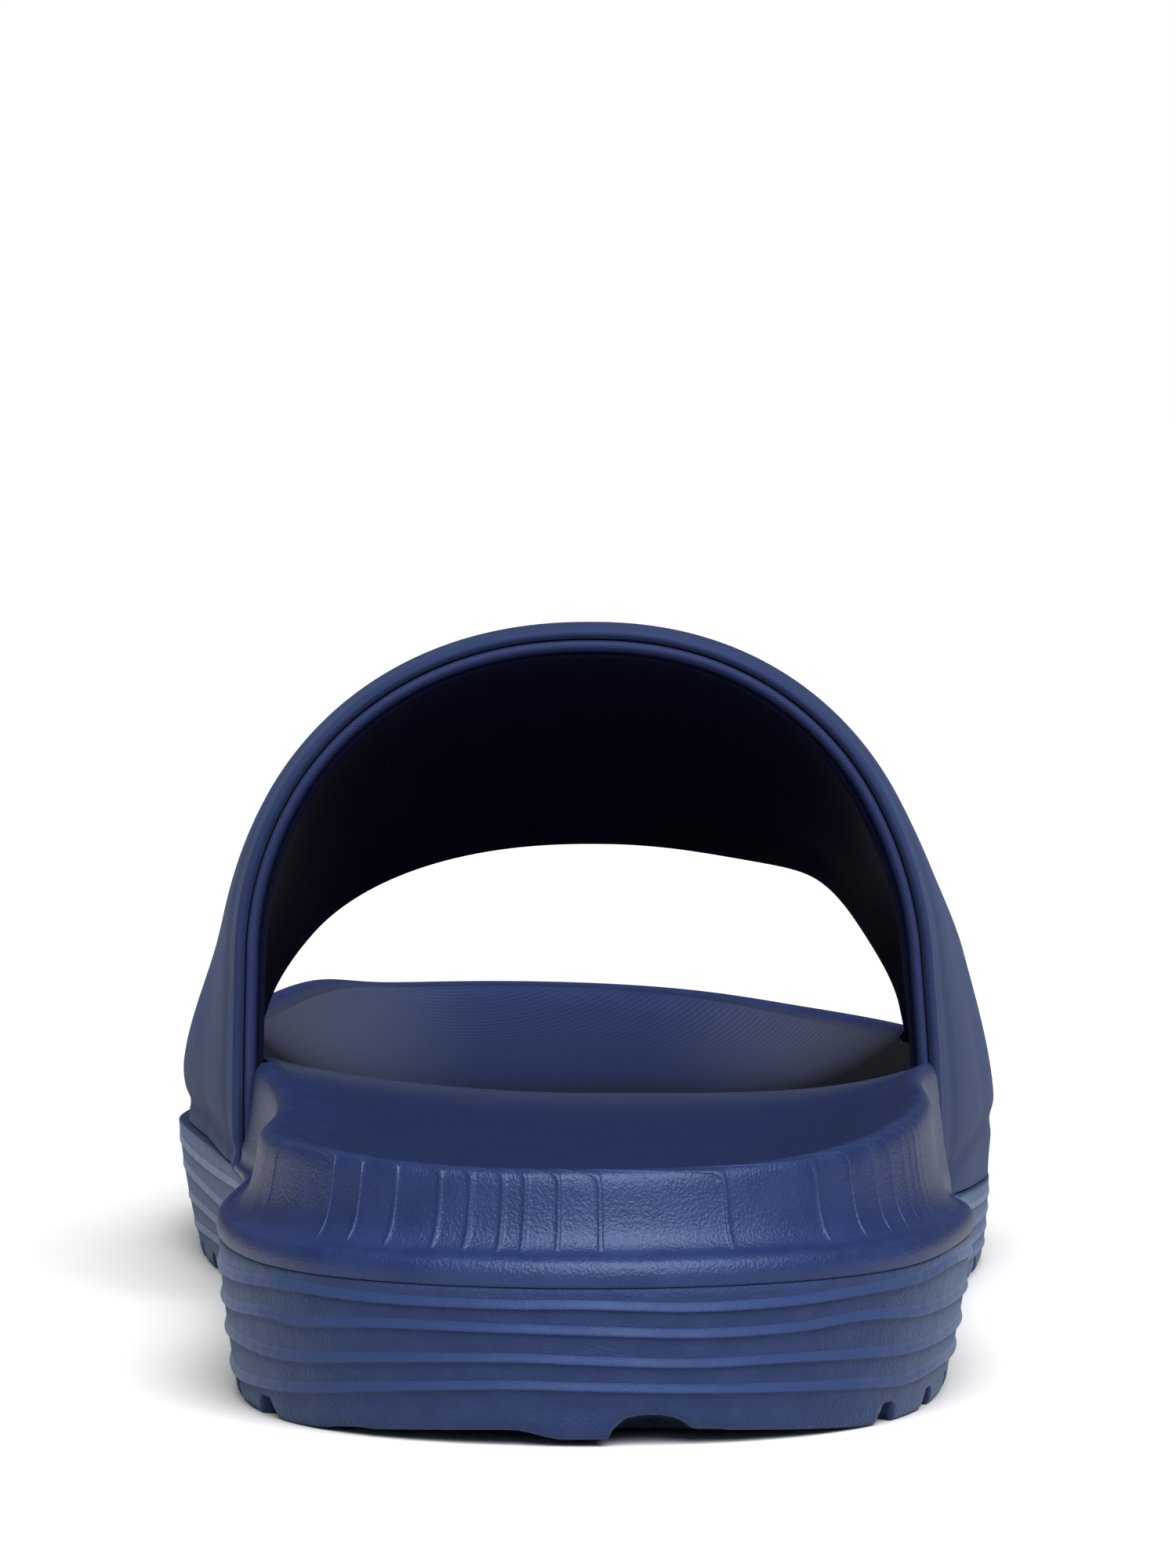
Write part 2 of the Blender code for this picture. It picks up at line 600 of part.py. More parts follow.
def build():
    """Make the three pieces, centred in plan over the origin and standing on the ground."""
    for thing in list(bpy.data.objects):
        bpy.data.objects.remove(thing, do_unlink=True)
    walls = wall_rings()
    midsole = core_rings(0.0) + walls + underside_rings(walls[-1])
    edges = footbed_edge_rings()
    footbed = core_rings(FIT_GAP) + edges + bed_rings(edges[-1])
    points, loops = strap_points()
    everything = np.vstack(midsole + footbed + [points])
    low, high = everything.min(axis=0), everything.max(axis=0)
    shift = np.array(((low[0] + high[0]) / 2, (low[1] + high[1]) / 2, 0.0))
    lower = ring_solid("midsole", [part - shift for part in midsole], MIDSOLE_FINISH)
    upper = ring_solid("footbed", [part - shift for part in footbed], FOOTBED_FINISH)
    swept_solid("strap", points - shift, loops, STRAP_FINISH)
    for side in (-1.0, 1.0):
        cut(upper, strap_seat(side, shift))
    for place in GROOVES:
        cut(lower, tread_groove(place, shift))
    for row in HEEL_NOTCHES:
        cut(lower, heel_notch(row, shift))
    for moulding in (lower, upper):
        weld(moulding)


build()
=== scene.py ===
"""Looks of a sport slide sandal, right shoe: a ribbed foam midsole, a contoured footbed and a padded strap.

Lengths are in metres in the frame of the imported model: +Y to the toe, +X to the little toe's side,
+Z up. Inside the classes the heel's rear end is at y = 0, and SoleForm.place carries points into the
frame. Every mesh is a grid of points worked out as whole arrays.
"""

from __future__ import annotations

import logging
import math
from dataclasses import dataclass, field
from enum import Enum

import bpy
import numpy as np
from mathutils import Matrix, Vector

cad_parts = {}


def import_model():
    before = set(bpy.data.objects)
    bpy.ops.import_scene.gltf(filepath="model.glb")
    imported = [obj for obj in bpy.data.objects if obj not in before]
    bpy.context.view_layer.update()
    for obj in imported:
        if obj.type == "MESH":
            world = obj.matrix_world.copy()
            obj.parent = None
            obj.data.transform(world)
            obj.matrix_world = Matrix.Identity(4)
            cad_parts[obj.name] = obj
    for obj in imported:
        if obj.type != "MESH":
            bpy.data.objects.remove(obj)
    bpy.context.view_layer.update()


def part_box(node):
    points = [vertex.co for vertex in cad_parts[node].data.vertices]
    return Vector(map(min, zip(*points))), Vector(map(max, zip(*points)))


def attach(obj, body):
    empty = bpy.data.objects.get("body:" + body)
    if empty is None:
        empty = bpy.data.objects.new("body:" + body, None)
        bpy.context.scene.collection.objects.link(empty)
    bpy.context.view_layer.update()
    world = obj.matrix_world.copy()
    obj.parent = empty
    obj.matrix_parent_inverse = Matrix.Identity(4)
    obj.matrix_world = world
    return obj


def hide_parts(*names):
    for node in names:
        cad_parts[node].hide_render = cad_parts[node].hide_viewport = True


LOG = logging.getLogger("slide_sandal")
BODY = "root"
TINY = 1e-6
Array = np.ndarray
Socket = bpy.types.NodeSocket
Pair = tuple[float, float]
Colour = tuple[float, float, float]


class Slot(Enum):
    """Names of the record's material slots, which the pieces' materials share."""

    MIDSOLE = "midsole_foam"
    FOOTBED = "footbed_foam"
    STRAP = "strap_skin"


def ease(value: Array) -> Array:
    """Go from 0 to 1 with a level start and end."""
    value = np.clip(value, 0.0, 1.0)
    return value * value * (3.0 - 2.0 * value)


def bell(distance: Array, reach: float | Array) -> Array:
    """Bell curve: 1 in the middle, exp(-1) at reach."""
    return np.exp(-((distance / reach) ** 2))


def ramp(value: Array, run: Pair) -> Array:
    """Go smoothly from 0, at run's first number, to 1, its second number further on, or back if negative."""
    return ease((value - run[0]) / run[1])


def window(value: Array, opens: Pair, closes: Pair) -> Array:
    """Go smoothly from 0 to 1 by one ramp and back to 0 by another."""
    return ramp(value, opens) * ramp(value, closes)


def running(steps: Array) -> Array:
    """Give the running total of steps, from 0 on."""
    return np.concatenate(([0.0], np.cumsum(steps)))


def cubic(values: Array, slopes: Array, ends: tuple, span: Array, u: Array) -> Array:
    """Read the cubics that join knots with given values and slopes.

    Args:
        values: value at each knot.
        slopes: slope at each knot.
        ends: for each reading the indices of the knots before and after it.
        span: distance between those two knots.
        u: share of that distance at which to read.

    Returns:
        The readings.
    """
    low, high = ends
    start = values[low] * (2 * u**3 - 3 * u**2 + 1) + slopes[low] * span * (u**3 - 2 * u**2 + u)
    end = values[high] * (3 * u**2 - 2 * u**3) + slopes[high] * span * (u**3 - u**2)
    return start + end


def add_to_scene(name: str, data: bpy.types.ID) -> bpy.types.Object:
    """Make an object of that data and link it to the scene."""
    thing = bpy.data.objects.new(name, data)
    bpy.context.scene.collection.objects.link(thing)
    return thing


def smooth_columns(table: tuple, along: Array, level_ends: bool = True) -> Array:
    """Read the columns of a table by a cubic through its rows.

    Args:
        table: rows whose first column is the key, in rising order.
        along: keys to read at; they are held within the table's range.
        level_ends: whether the cubic is level at both ends or runs on.

    Returns:
        One array for each further column, stacked along the first axis.
    """
    rows = np.array(table, dtype=float)
    keys, values = rows[:, 0], rows[:, 1:]
    slopes = np.zeros_like(values)
    slopes[1:-1] = (values[2:] - values[:-2]) / (keys[2:] - keys[:-2])[:, None]
    if not level_ends:
        slopes[0] = 2.0 * (values[1] - values[0]) / (keys[1] - keys[0]) - slopes[1]
        slopes[-1] = 2.0 * (values[-1] - values[-2]) / (keys[-1] - keys[-2]) - slopes[-2]
    along = np.clip(np.asarray(along, dtype=float), keys[0], keys[-1])
    low = np.clip(np.searchsorted(keys, along, side="right") - 1, 0, len(keys) - 2)
    span = (keys[low + 1] - keys[low])[..., None]
    u = (along - keys[low])[..., None] / span
    return np.moveaxis(cubic(values, slopes, (low, low + 1), span, u), -1, 0)


def closed_curve(points: Array, samples: int) -> Array:
    """Pass a closed cubic spline through points, timed by the chords between them.

    Args:
        points: the points, one a row.
        samples: how many points to give along the spline.

    Returns:
        The samples, one a row.
    """
    count = len(points)
    ahead = np.roll(points, -1, axis=0)
    chords = np.linalg.norm(ahead - points, axis=1)
    before = np.roll(chords, 1)
    system = np.zeros((count, count))
    index = np.arange(count)
    system[index, index] = 2.0 * (before + chords)
    system[index, (index - 1) % count] = chords
    system[index, (index + 1) % count] = before
    back = (points - np.roll(points, 1, axis=0)) / before[:, None]
    forth = (ahead - points) / chords[:, None]
    slopes = np.linalg.solve(system, 3.0 * (chords[:, None] * back + before[:, None] * forth))
    time = np.linspace(0.0, chords.sum(), samples, endpoint=False)
    starts = running(chords)
    piece = np.clip(np.searchsorted(starts, time, side="right") - 1, 0, count - 1)
    span = chords[piece][:, None]
    u = (time - starts[piece])[:, None] / span
    return cubic(points, slopes, (piece, (piece + 1) % count), span, u)


class Surface:
    """Points and faces of one piece, gathered ring by ring or loop by loop."""

    def __init__(self) -> None:
        """Start with nothing."""
        self.points: list[Array] = []
        self.values: dict[str, list[Array]] = {}
        self.quads: list[Array] = []
        self.triangles: list[Array] = []
        self.count = 0

    def add(self, points: Array, values: dict[str, object] | None = None) -> Array:
        """Take points in, with a number for each under every name in values.

        Args:
            points: array of points whose last axis has three entries.
            values: arrays or numbers that spread over points without its last axis.

        Returns:
            The points' indices, shaped as points without its last axis.
        """
        flat = points.reshape(-1, 3)
        index = self.count + np.arange(len(flat)).reshape(points.shape[:-1])
        self.points.append(flat)
        for name in values or {}:
            self.values.setdefault(name, [np.zeros(self.count)])
        for name, parts in self.values.items():
            given = (values or {}).get(name, 0.0)
            parts.append(np.ravel(np.broadcast_to(given, points.shape[:-1])))
        self.count += len(flat)
        return index

    def rings(self, index: Array) -> None:
        """Join closed rings that follow one another, one a row of index, with quads."""
        upper, lower = index[:-1], index[1:]
        quads = (upper, lower, np.roll(lower, -1, axis=1), np.roll(upper, -1, axis=1))
        self.quads.append(np.stack(quads, axis=-1).reshape(-1, 4))

    def halve(self, fine: Array, coarse: Array, grows: bool = False) -> None:
        """Join a ring to one with half as many points: a triangle and a quad for each pair.

        Args:
            fine: indices of the ring with more points.
            coarse: indices of the ring with fewer points.
            grows: whether the coarse ring comes first and the fine one follows it.
        """
        even, odd, after = fine[0::2], fine[1::2], np.roll(fine, -2)[0::2]
        ahead = np.roll(coarse, -1)
        triangle, quad = (even, coarse, odd), (odd, coarse, ahead, after)
        if grows:
            triangle, quad = (even, odd, coarse), (odd, after, ahead, coarse)
        self.triangles.append(np.stack(triangle, axis=-1))
        self.quads.append(np.stack(quad, axis=-1))

    def close_loop(self, loop: Array) -> None:
        """Close a loop whose two halves run side by side with quads from one half to the other."""
        half = loop.size // 2
        outer, inner = loop[:half], loop[::-1][:half]
        self.quads.append(np.stack((outer[:-1], outer[1:], inner[1:], inner[:-1]), axis=1))

    def mesh(self, name: str, sharp: float) -> bpy.types.Object:
        """Make the object, faces outwards, smooth but for edges sharper than sharp degrees.

        Args:
            name: name of the object and its mesh.
            sharp: angle in degrees past which an edge stays sharp.

        Returns:
            The object, linked to the scene.
        """
        points = np.vstack(self.points)
        quads = np.concatenate(self.quads)
        triangles = np.concatenate(self.triangles) if self.triangles else np.zeros((0, 3), int)
        spread = points[quads]
        volume = np.einsum("ij,ij->i", spread[:, 0], np.cross(spread[:, 1], spread[:, 2])).sum()
        volume += np.einsum("ij,ij->i", spread[:, 0], np.cross(spread[:, 2], spread[:, 3])).sum()
        if volume < 0.0:
            quads, triangles = quads[:, ::-1], triangles[:, ::-1]
        corners = np.concatenate((quads.ravel(), triangles.ravel())).astype(np.int32)
        sizes = np.concatenate((np.full(len(quads), 4), np.full(len(triangles), 3)))
        starts = running(sizes)[:-1].astype(np.int32)
        mesh = bpy.data.meshes.new(name)
        mesh.vertices.add(len(points))
        mesh.vertices.foreach_set("co", points.astype(np.float32).ravel())
        mesh.loops.add(len(corners))
        mesh.loops.foreach_set("vertex_index", corners)
        mesh.polygons.add(len(sizes))
        mesh.polygons.foreach_set("loop_start", starts)
        mesh.update(calc_edges=True)
        mesh.validate()
        for key, parts in self.values.items():
            layer = mesh.attributes.new(key, "FLOAT", "POINT")
            layer.data.foreach_set("value", np.concatenate(parts).astype(np.float32))
        mesh.shade_smooth()
        mesh.set_sharp_from_angle(angle=math.radians(sharp))
        return add_to_scene(name, mesh)


class Tree:
    """Node tree of one material, with short ways to add nodes and join them."""

    def __init__(self, name: str) -> None:
        """Start a material with a Principled shader."""
        self.material = bpy.data.materials.new(name)
        self.material.use_nodes = True
        self.tree = self.material.node_tree
        self.shader = self.tree.nodes["Principled BSDF"]
        self.coordinates = self.node("ShaderNodeTexCoord").outputs["Object"]

    def node(self, kind: str, **settings: object) -> bpy.types.Node:
        """Add a node of that kind and set its properties."""
        made = self.tree.nodes.new(kind)
        for key, value in settings.items():
            setattr(made, key, value)
        return made

    def feed(self, socket: Socket, value: object) -> None:
        """Join a socket to another, or set its value."""
        if isinstance(value, Socket):
            self.tree.links.new(value, socket)
        else:
            socket.default_value = value

    def maths(self, operation: str, *values: object) -> Socket:
        """Give the result of a Math node on up to three values."""
        made = self.node("ShaderNodeMath", operation=operation)
        for socket, value in zip(made.inputs, values):
            self.feed(socket, value)
        return made.outputs[0]

    def between(self, share: object, low: float, high: float) -> Socket:
        """Go straight from low to high by share."""
        return self.maths("MULTIPLY_ADD", share, high - low, low)

    def noise(self, scale: float, detail: float = 2.0) -> Socket:
        """Give a noise between 0 and 1 with scale cells a metre."""
        made = self.node("ShaderNodeTexNoise")
        self.feed(made.inputs["Vector"], self.coordinates)
        made.inputs["Scale"].default_value = scale
        made.inputs["Detail"].default_value = detail
        return made.outputs["Fac"]

    def attribute(self, name: str) -> Socket:
        """Give a number that the mesh holds for each point."""
        return self.node("ShaderNodeAttribute", attribute_name=name).outputs["Fac"]

    def smooth(self, value: object, low: float, high: float) -> Socket:
        """Go smoothly from 0 at low to 1 at high."""
        made = self.node("ShaderNodeMapRange", interpolation_type="SMOOTHSTEP")
        self.feed(made.inputs["Value"], value)
        made.inputs["From Min"].default_value = low
        made.inputs["From Max"].default_value = high
        return made.outputs["Result"]

    def blend(self, share: object, first: tuple, second: object) -> Socket:
        """Mix two colours by share."""
        made = self.node("ShaderNodeMix", data_type="RGBA")
        self.feed(made.inputs["Factor"], share)
        for key, value in (("A", first), ("B", second)):
            socket = next(s for s in made.inputs if s.name == key and s.type == "RGBA")
            self.feed(socket, value + (1.0,) if isinstance(value, tuple) else value)
        return next(s for s in made.outputs if s.type == "RGBA")

    def bump(self, height: object, distance: float, under: object = None) -> Socket:
        """Give normals bent by height times distance, on top of other normals."""
        made = self.node("ShaderNodeBump")
        made.inputs["Distance"].default_value = distance
        self.feed(made.inputs["Height"], height)
        if under is not None:
            self.feed(made.inputs["Normal"], under)
        return made.outputs["Normal"]

    def set(self, **values: object) -> None:
        """Set or join inputs of the shader; underscores stand for the spaces in their names."""
        for key, value in values.items():
            name = key.replace("_", " ")
            value = value + (1.0,) if isinstance(value, tuple) and len(value) == 3 else value
            self.feed(self.shader.inputs[name], value)


@dataclass(frozen=True)
class MidsoleFinish:
    """Moulded foam of the wall: grainy bands, and smoother stripes on the ribs whose lighter colour is a
    painted highlight on their up-facing bevels.
    """

    band: Colour = (0.0190, 0.0340, 0.1080)
    band_light: Colour = (0.0240, 0.0410, 0.1230)
    # painted highlight: the stripes' bevels face the light, and this lighter colour lays the lit look on as
    # paint
    stripe: Colour = (0.0280, 0.0500, 0.1520)
    roughness: float = 0.60
    stripe_roughness: float = 0.46
    grain_scale: float = 2700.0
    grain_depth: float = 0.000160
    mottle_scale: float = 260.0
    mottle_range: Pair = (0.35, 0.68)
    stripe_grain: float = 0.25
    swell: float = 1.4
    specular: float = 0.36
    tint: Colour = (0.50, 0.68, 1.00)
    sheen: float = 0.30
    sheen_roughness: float = 0.45

    def material(self) -> bpy.types.Material:
        """Build the material."""
        tree = Tree("midsole_foam")
        stripe = tree.attribute("stripe")
        mottle = tree.smooth(tree.noise(self.mottle_scale, 3.0), *self.mottle_range)
        colour = tree.blend(mottle, self.band, self.band_light)
        # the stripe mask: painted highlight in the colour, and the stripes' own smoother finish
        tree.set(Base_Color=tree.blend(stripe, colour, self.stripe))
        calm = tree.between(stripe, 1.0, self.stripe_grain)
        grain = tree.maths("MULTIPLY", tree.noise(self.grain_scale, 2.0), calm)
        swell = tree.maths("MULTIPLY", tree.noise(self.mottle_scale, 1.0), self.swell)
        rough = tree.between(stripe, self.roughness, self.stripe_roughness)
        height = tree.maths("ADD", grain, swell)
        tree.set(Roughness=rough, Normal=tree.bump(height, self.grain_depth))
        tree.set(Specular_IOR_Level=self.specular, Specular_Tint=self.tint)
        tree.set(Sheen_Weight=self.sheen, Sheen_Roughness=self.sheen_roughness, Sheen_Tint=self.tint)
        return tree.material


@dataclass(frozen=True)
class FootbedFinish:
    """Foam skin: pebbled and satin on shoulder and flange, matte on the bed, with fine raised lines; its
    colour carries painted shade on the bed, painted highlights beside the lines and a painted reflection
    towards the front.
    """

    base: Colour = (0.0140, 0.0275, 0.1090)
    light: Colour = (0.0200, 0.0360, 0.1320)
    # painted highlight: the lighter colour laid along both flanks of each raised line
    line: Colour = (0.0440, 0.0740, 0.1950)
    # painted shade: the up-facing bed, lit and seen at a grazing angle, is made darker in its colour
    bed: Colour = (0.0012, 0.0085, 0.0610)
    # painted reflection: a grey of the white surround, as seen at a grazing angle, laid on as colour
    painted_reflection: Colour = (0.0540, 0.0640, 0.1080)
    roughness: float = 0.40
    bed_roughness: float = 0.74
    pebble_scale: float = 3000.0
    pebble_depth: float = 0.000120
    bed_grain: float = 0.40
    line_depth: float = 0.000110
    ridge_range: Pair = (0.45, 1.00)
    flank_place: float = 0.70
    flank_reach: float = 0.40
    flank_share: float = 0.45
    mottle_scale: float = 170.0
    mottle_range: Pair = (0.30, 0.70)
    uneven: float = 0.06
    specular: float = 0.64
    tint: Colour = (0.60, 0.74, 1.00)

    def material(self) -> bpy.types.Material:
        """Build the material."""
        tree = Tree("footbed_foam")
        bed = tree.attribute("bed")
        away = tree.maths("PINGPONG", tree.attribute("contour"), 0.5)
        ratio = tree.maths("DIVIDE", away, tree.attribute("line_width"))
        strength = tree.attribute("line_strength")
        ridge = tree.maths("SUBTRACT", 1.0, tree.smooth(ratio, *self.ridge_range))
        ridge = tree.maths("MULTIPLY", ridge, strength)
        # painted highlight: a thin band on each side of a raised line takes the lighter colour
        beside = tree.maths("ABSOLUTE", tree.maths("SUBTRACT", ratio, self.flank_place))
        flank = tree.maths("SUBTRACT", 1.0, tree.smooth(beside, 0.0, self.flank_reach))
        flank = tree.maths("MULTIPLY", flank, strength)
        mottle = tree.smooth(tree.noise(self.mottle_scale, 3.0), *self.mottle_range)
        colour = tree.blend(mottle, self.base, self.light)
        # painted shade: the bed mask darkens the colour on the bed and partly on the rim
        colour = tree.blend(bed, colour, self.bed)
        # painted reflection: grey mixed into the colour towards the front of the bed and on the crest
        colour = tree.blend(tree.attribute("painted_reflection"), colour, self.painted_reflection)
        tree.set(Base_Color=tree.blend(tree.maths("MULTIPLY", flank, self.flank_share), colour, self.line))
        calm = tree.between(bed, 1.0, self.bed_grain)
        pebbles = tree.maths("MULTIPLY", tree.noise(self.pebble_scale, 2.5), calm)
        normals = tree.bump(pebbles, self.pebble_depth)
        normals = tree.bump(ridge, self.line_depth, normals)
        rough = tree.between(bed, self.roughness, self.bed_roughness)
        uneven = tree.between(tree.noise(self.mottle_scale, 2.0), -self.uneven, self.uneven)
        tree.set(Roughness=tree.maths("ADD", rough, uneven), Normal=normals)
        tree.set(Specular_IOR_Level=self.specular, Specular_Tint=self.tint)
        return tree.material


@dataclass(frozen=True)
class SkinFinish:
    """Coated synthetic leather of the strap's outer face: smooth and satin, with a faint grain."""

    base: Colour = (0.0300, 0.0470, 0.1230)
    deep: Colour = (0.0250, 0.0400, 0.1090)
    roughness: float = 0.56
    grain_scale: float = 1500.0
    grain_depth: float = 0.000012
    swell_scale: float = 55.0
    swell_depth: float = 0.00025
    patch_range: Pair = (0.30, 0.70)
    uneven: float = 0.06
    specular: float = 0.04
    tint: Colour = (0.40, 0.55, 1.00)
    sheen: float = 0.10
    sheen_roughness: float = 0.50

    def material(self) -> bpy.types.Material:
        """Build the material."""
        tree = Tree("strap_skin")
        patches = tree.smooth(tree.noise(self.swell_scale, 2.0), *self.patch_range)
        tree.set(Base_Color=tree.blend(patches, self.deep, self.base))
        normals = tree.bump(tree.noise(self.swell_scale, 1.0), self.swell_depth)
        normals = tree.bump(tree.noise(self.grain_scale, 3.0), self.grain_depth, normals)
        low, high = self.roughness - self.uneven, self.roughness + self.uneven
        rough = tree.between(tree.noise(self.swell_scale * 2.0), low, high)
        tree.set(Roughness=rough, Normal=normals, Specular_IOR_Level=self.specular)
        tree.set(Sheen_Weight=self.sheen, Sheen_Roughness=self.sheen_roughness, Sheen_Tint=self.tint)
        return tree.material


@dataclass(frozen=True)
class LiningFinish:
    """Fine knitted lining and the smoother bead at its edges, with little shine; the lining's near-black
    colour is partly its own dark tone and partly painted shade for the strap's inside.
    """

    # partly the lining's own dark tone, partly painted shade: the strap's inside is made near-black in
    # colour
    base: Colour = (0.0014, 0.0026, 0.0200)
    light: Colour = (0.0045, 0.0065, 0.0300)
    bead: Colour = (0.0300, 0.0440, 0.1300)
    roughness: float = 0.70
    course: float = 0.00042
    wale: float = 0.00060
    depth: float = 0.000050
    fuzz_scale: float = 900.0
    specular: float = 0.12

    def material(self) -> bpy.types.Material:
        """Build the material."""
        tree = Tree("strap_lining")
        turn = 2.0 * math.pi
        courses = tree.maths("SINE", tree.maths("MULTIPLY", tree.attribute("along"), turn / self.course))
        wales = tree.maths("SINE", tree.maths("MULTIPLY", tree.attribute("across"), turn / self.wale))
        knit = tree.maths("MULTIPLY_ADD", tree.maths("MULTIPLY", courses, wales), 0.5, 0.5)
        fuzz = tree.noise(self.fuzz_scale, 3.0)
        colour = tree.blend(tree.maths("MULTIPLY", knit, fuzz), self.base, self.light)
        tree.set(Base_Color=tree.blend(tree.attribute("bead"), colour, self.bead))
        height = tree.maths("ADD", knit, fuzz)
        tree.set(Normal=tree.bump(height, self.depth), Roughness=self.roughness)
        tree.set(Specular_IOR_Level=self.specular)
        return tree.material


@dataclass(frozen=True)
class FloorFinish:
    """Plain white studio paper, overexposed to the eye as in a cut-out picture."""

    seen: float = 1.00
    shade: float = 0.62

    def material(self) -> bpy.types.Material:
        """Build the material."""
        tree = Tree("studio_paper")
        eye = tree.node("ShaderNodeLightPath").outputs["Is Camera Ray"]
        paper = tree.node("ShaderNodeBsdfDiffuse")
        tree.feed(paper.inputs["Color"], tree.between(eye, self.shade, self.seen))
        output = tree.tree.nodes["Material Output"]
        tree.feed(output.inputs["Surface"], paper.outputs["BSDF"])
        return tree.material


@dataclass
class Columns:
    """Places round the sole's outline, heel to toe on the medial side and back on the lateral side."""

    points: Array
    normals: Array
    sides: Array
    arcs: Array
    spine: Array
    parting: Array
    rim: Array
    shoulder: Array
    lean: Array

    @property
    def count(self) -> int:
        """Number of columns."""
        return len(self.points)

    def ring(self, inset: float | Array, height: float | Array) -> Array:
        """Carry the outline inwards along its own normals by inset and put it at height."""
        plan = self.points - self.normals * np.broadcast_to(inset, self.count)[:, None]
        return np.column_stack((plan, np.broadcast_to(height, self.count)))

    def shrink(self, edge: Array, share: float) -> Array:
        """Give the plan of a ring drawn in towards the spine; share 1 is the ring, 0 the spine."""
        return self.spine + (edge[:, :2] - self.spine) * share

    def half(self) -> "Columns":
        """Keep every other column."""
        return Columns(*(getattr(self, name)[::2] for name in self.__dataclass_fields__))


@dataclass
class SoleForm:
    """The last's plan and heights, which midsole, footbed and strap share."""

    length: float = 0.290
    ball_width: float = 0.110
    heel_width: float = 0.0876
    parting_height: float = 0.018
    rim_height: float = 0.031
    bed_height: float = 0.028
    toe_spring: float = 0.0125
    spring_start: float = 0.195
    heel_lift: float = 0.0024
    heel_roll: float = 0.022
    roll_power: float = 1.4
    arch_lift: float = 0.0012
    arch_opens: Pair = (0.31, 0.06)
    arch_closes: Pair = (0.48, -0.06)
    shoulder_rise: float = 0.0034
    shoulder_width: float = 0.0043
    wall_lean: float = 0.0022
    ledge_width: float = 0.0090
    core_rings: int = 5
    core_share: float = 0.50
    core_ease: float = 0.40
    curve_samples: int = 6000
    column_samples: int = 4000
    spacing_change: Pair = (1.3, -0.6)
    outline: tuple = (
        # along, across, width
        (0.000, 0.000, "heel"),
        (0.045, -0.705, "heel"),
        (0.150, -0.985, "heel"),
        (0.300, -0.975, "heel"),
        (0.440, -0.830, "ball"),
        (0.570, -0.955, "ball"),
        (0.670, -1.030, "ball"),
        (0.790, -0.985, "ball"),
        (0.900, -0.830, "ball"),
        (0.972, -0.665, "ball"),
        (1.000, -0.330, "ball"),
        (0.989, 0.030, "ball"),
        (0.950, 0.370, "ball"),
        (0.875, 0.680, "ball"),
        (0.765, 0.900, "ball"),
        (0.640, 0.985, "ball"),
        (0.500, 0.900, "ball"),
        (0.360, 0.820, "ball"),
        (0.150, 1.000, "heel"),
        (0.045, 0.705, "heel"),
    )
    edge_table: tuple = (
        # along, parting medial, lateral, rim medial, lateral, shoulder, lean medial, lateral
        (0.00, 0.995, 0.995, 0.982, 0.982, 1.00, 1.00, 1.00),
        (0.07, 1.000, 1.000, 1.005, 1.030, 0.96, 1.10, 1.35),
        (0.15, 1.030, 1.030, 0.990, 1.080, 0.84, 1.00, 1.45),
        (0.28, 1.030, 0.930, 0.970, 1.070, 0.72, 0.95, 1.25),
        (0.43, 0.990, 0.780, 1.020, 1.020, 0.25, 1.20, 0.80),
        (0.62, 1.010, 0.640, 0.980, 0.940, 0.40, 1.30, 0.45),
        (0.76, 0.950, 0.680, 0.980, 0.920, 0.80, 1.60, 0.60),
        (0.88, 1.020, 0.860, 1.030, 0.915, 0.90, 1.20, 0.90),
        (1.00, 1.200, 1.200, 0.955, 0.955, 1.00, 1.00, 1.00),
    )
    middle: float = 0.0
    curve: Array = field(init=False, repr=False)
    curve_normals: Array = field(init=False, repr=False)
    toe: int = field(init=False)

    def __post_init__(self) -> None:
        """Work out the plan outline and its normals."""
        half = {"heel": self.heel_width / 2, "ball": self.ball_width / 2}
        rows = [(across * half[width], along * self.length) for along, across, width in self.outline]
        curve = closed_curve(np.array(rows), self.curve_samples)
        curve[:, 1] = (curve[:, 1] - curve[:, 1].min()) * self.length / np.ptp(curve[:, 1])
        self.curve = np.roll(curve, -int(np.argmin(curve[:, 1])), axis=0)
        self.toe = int(np.argmax(self.curve[:, 1]))
        tangent = np.roll(self.curve, -1, axis=0) - np.roll(self.curve, 1, axis=0)
        tangent /= np.linalg.norm(tangent, axis=1)[:, None]
        self.curve_normals = np.stack((-tangent[:, 1], tangent[:, 0]), axis=1)

    def place(self, points: Array) -> Array:
        """Carry points from the heel's own place into the frame."""
        return points - np.array((self.middle, self.length / 2.0, 0.0))

    def half_width(self, side: float, y: Array) -> Array:
        """Distance of the outline from the middle line at y, medial for side -1, lateral for 1."""
        run = slice(0, self.toe + 1) if side < 0 else slice(self.toe, None)
        part = self.curve[run]
        order = np.argsort(part[:, 1])
        return np.interp(y, part[order, 1], np.abs(part[order, 0]))

    def edge_sizes(self, side: Array, y: Array) -> tuple[Array, ...]:
        """Give parting height, rim height, shoulder rise and wall lean at y.

        Args:
            side: -1 medial, 1 lateral, 0 on the middle line.
            y: distance from the heel's rear end.

        Returns:
            The four sizes, each shaped as y.
        """
        values = smooth_columns(self.edge_table, y / self.length)
        lateral = (side + 1.0) / 2.0
        parting = self.parting_height * (values[0] + (values[1] - values[0]) * lateral)
        rim = self.rim_height * (values[2] + (values[3] - values[2]) * lateral)
        lean = self.wall_lean * (values[5] + (values[6] - values[5]) * lateral)
        return parting, rim, self.shoulder_rise * values[4], lean

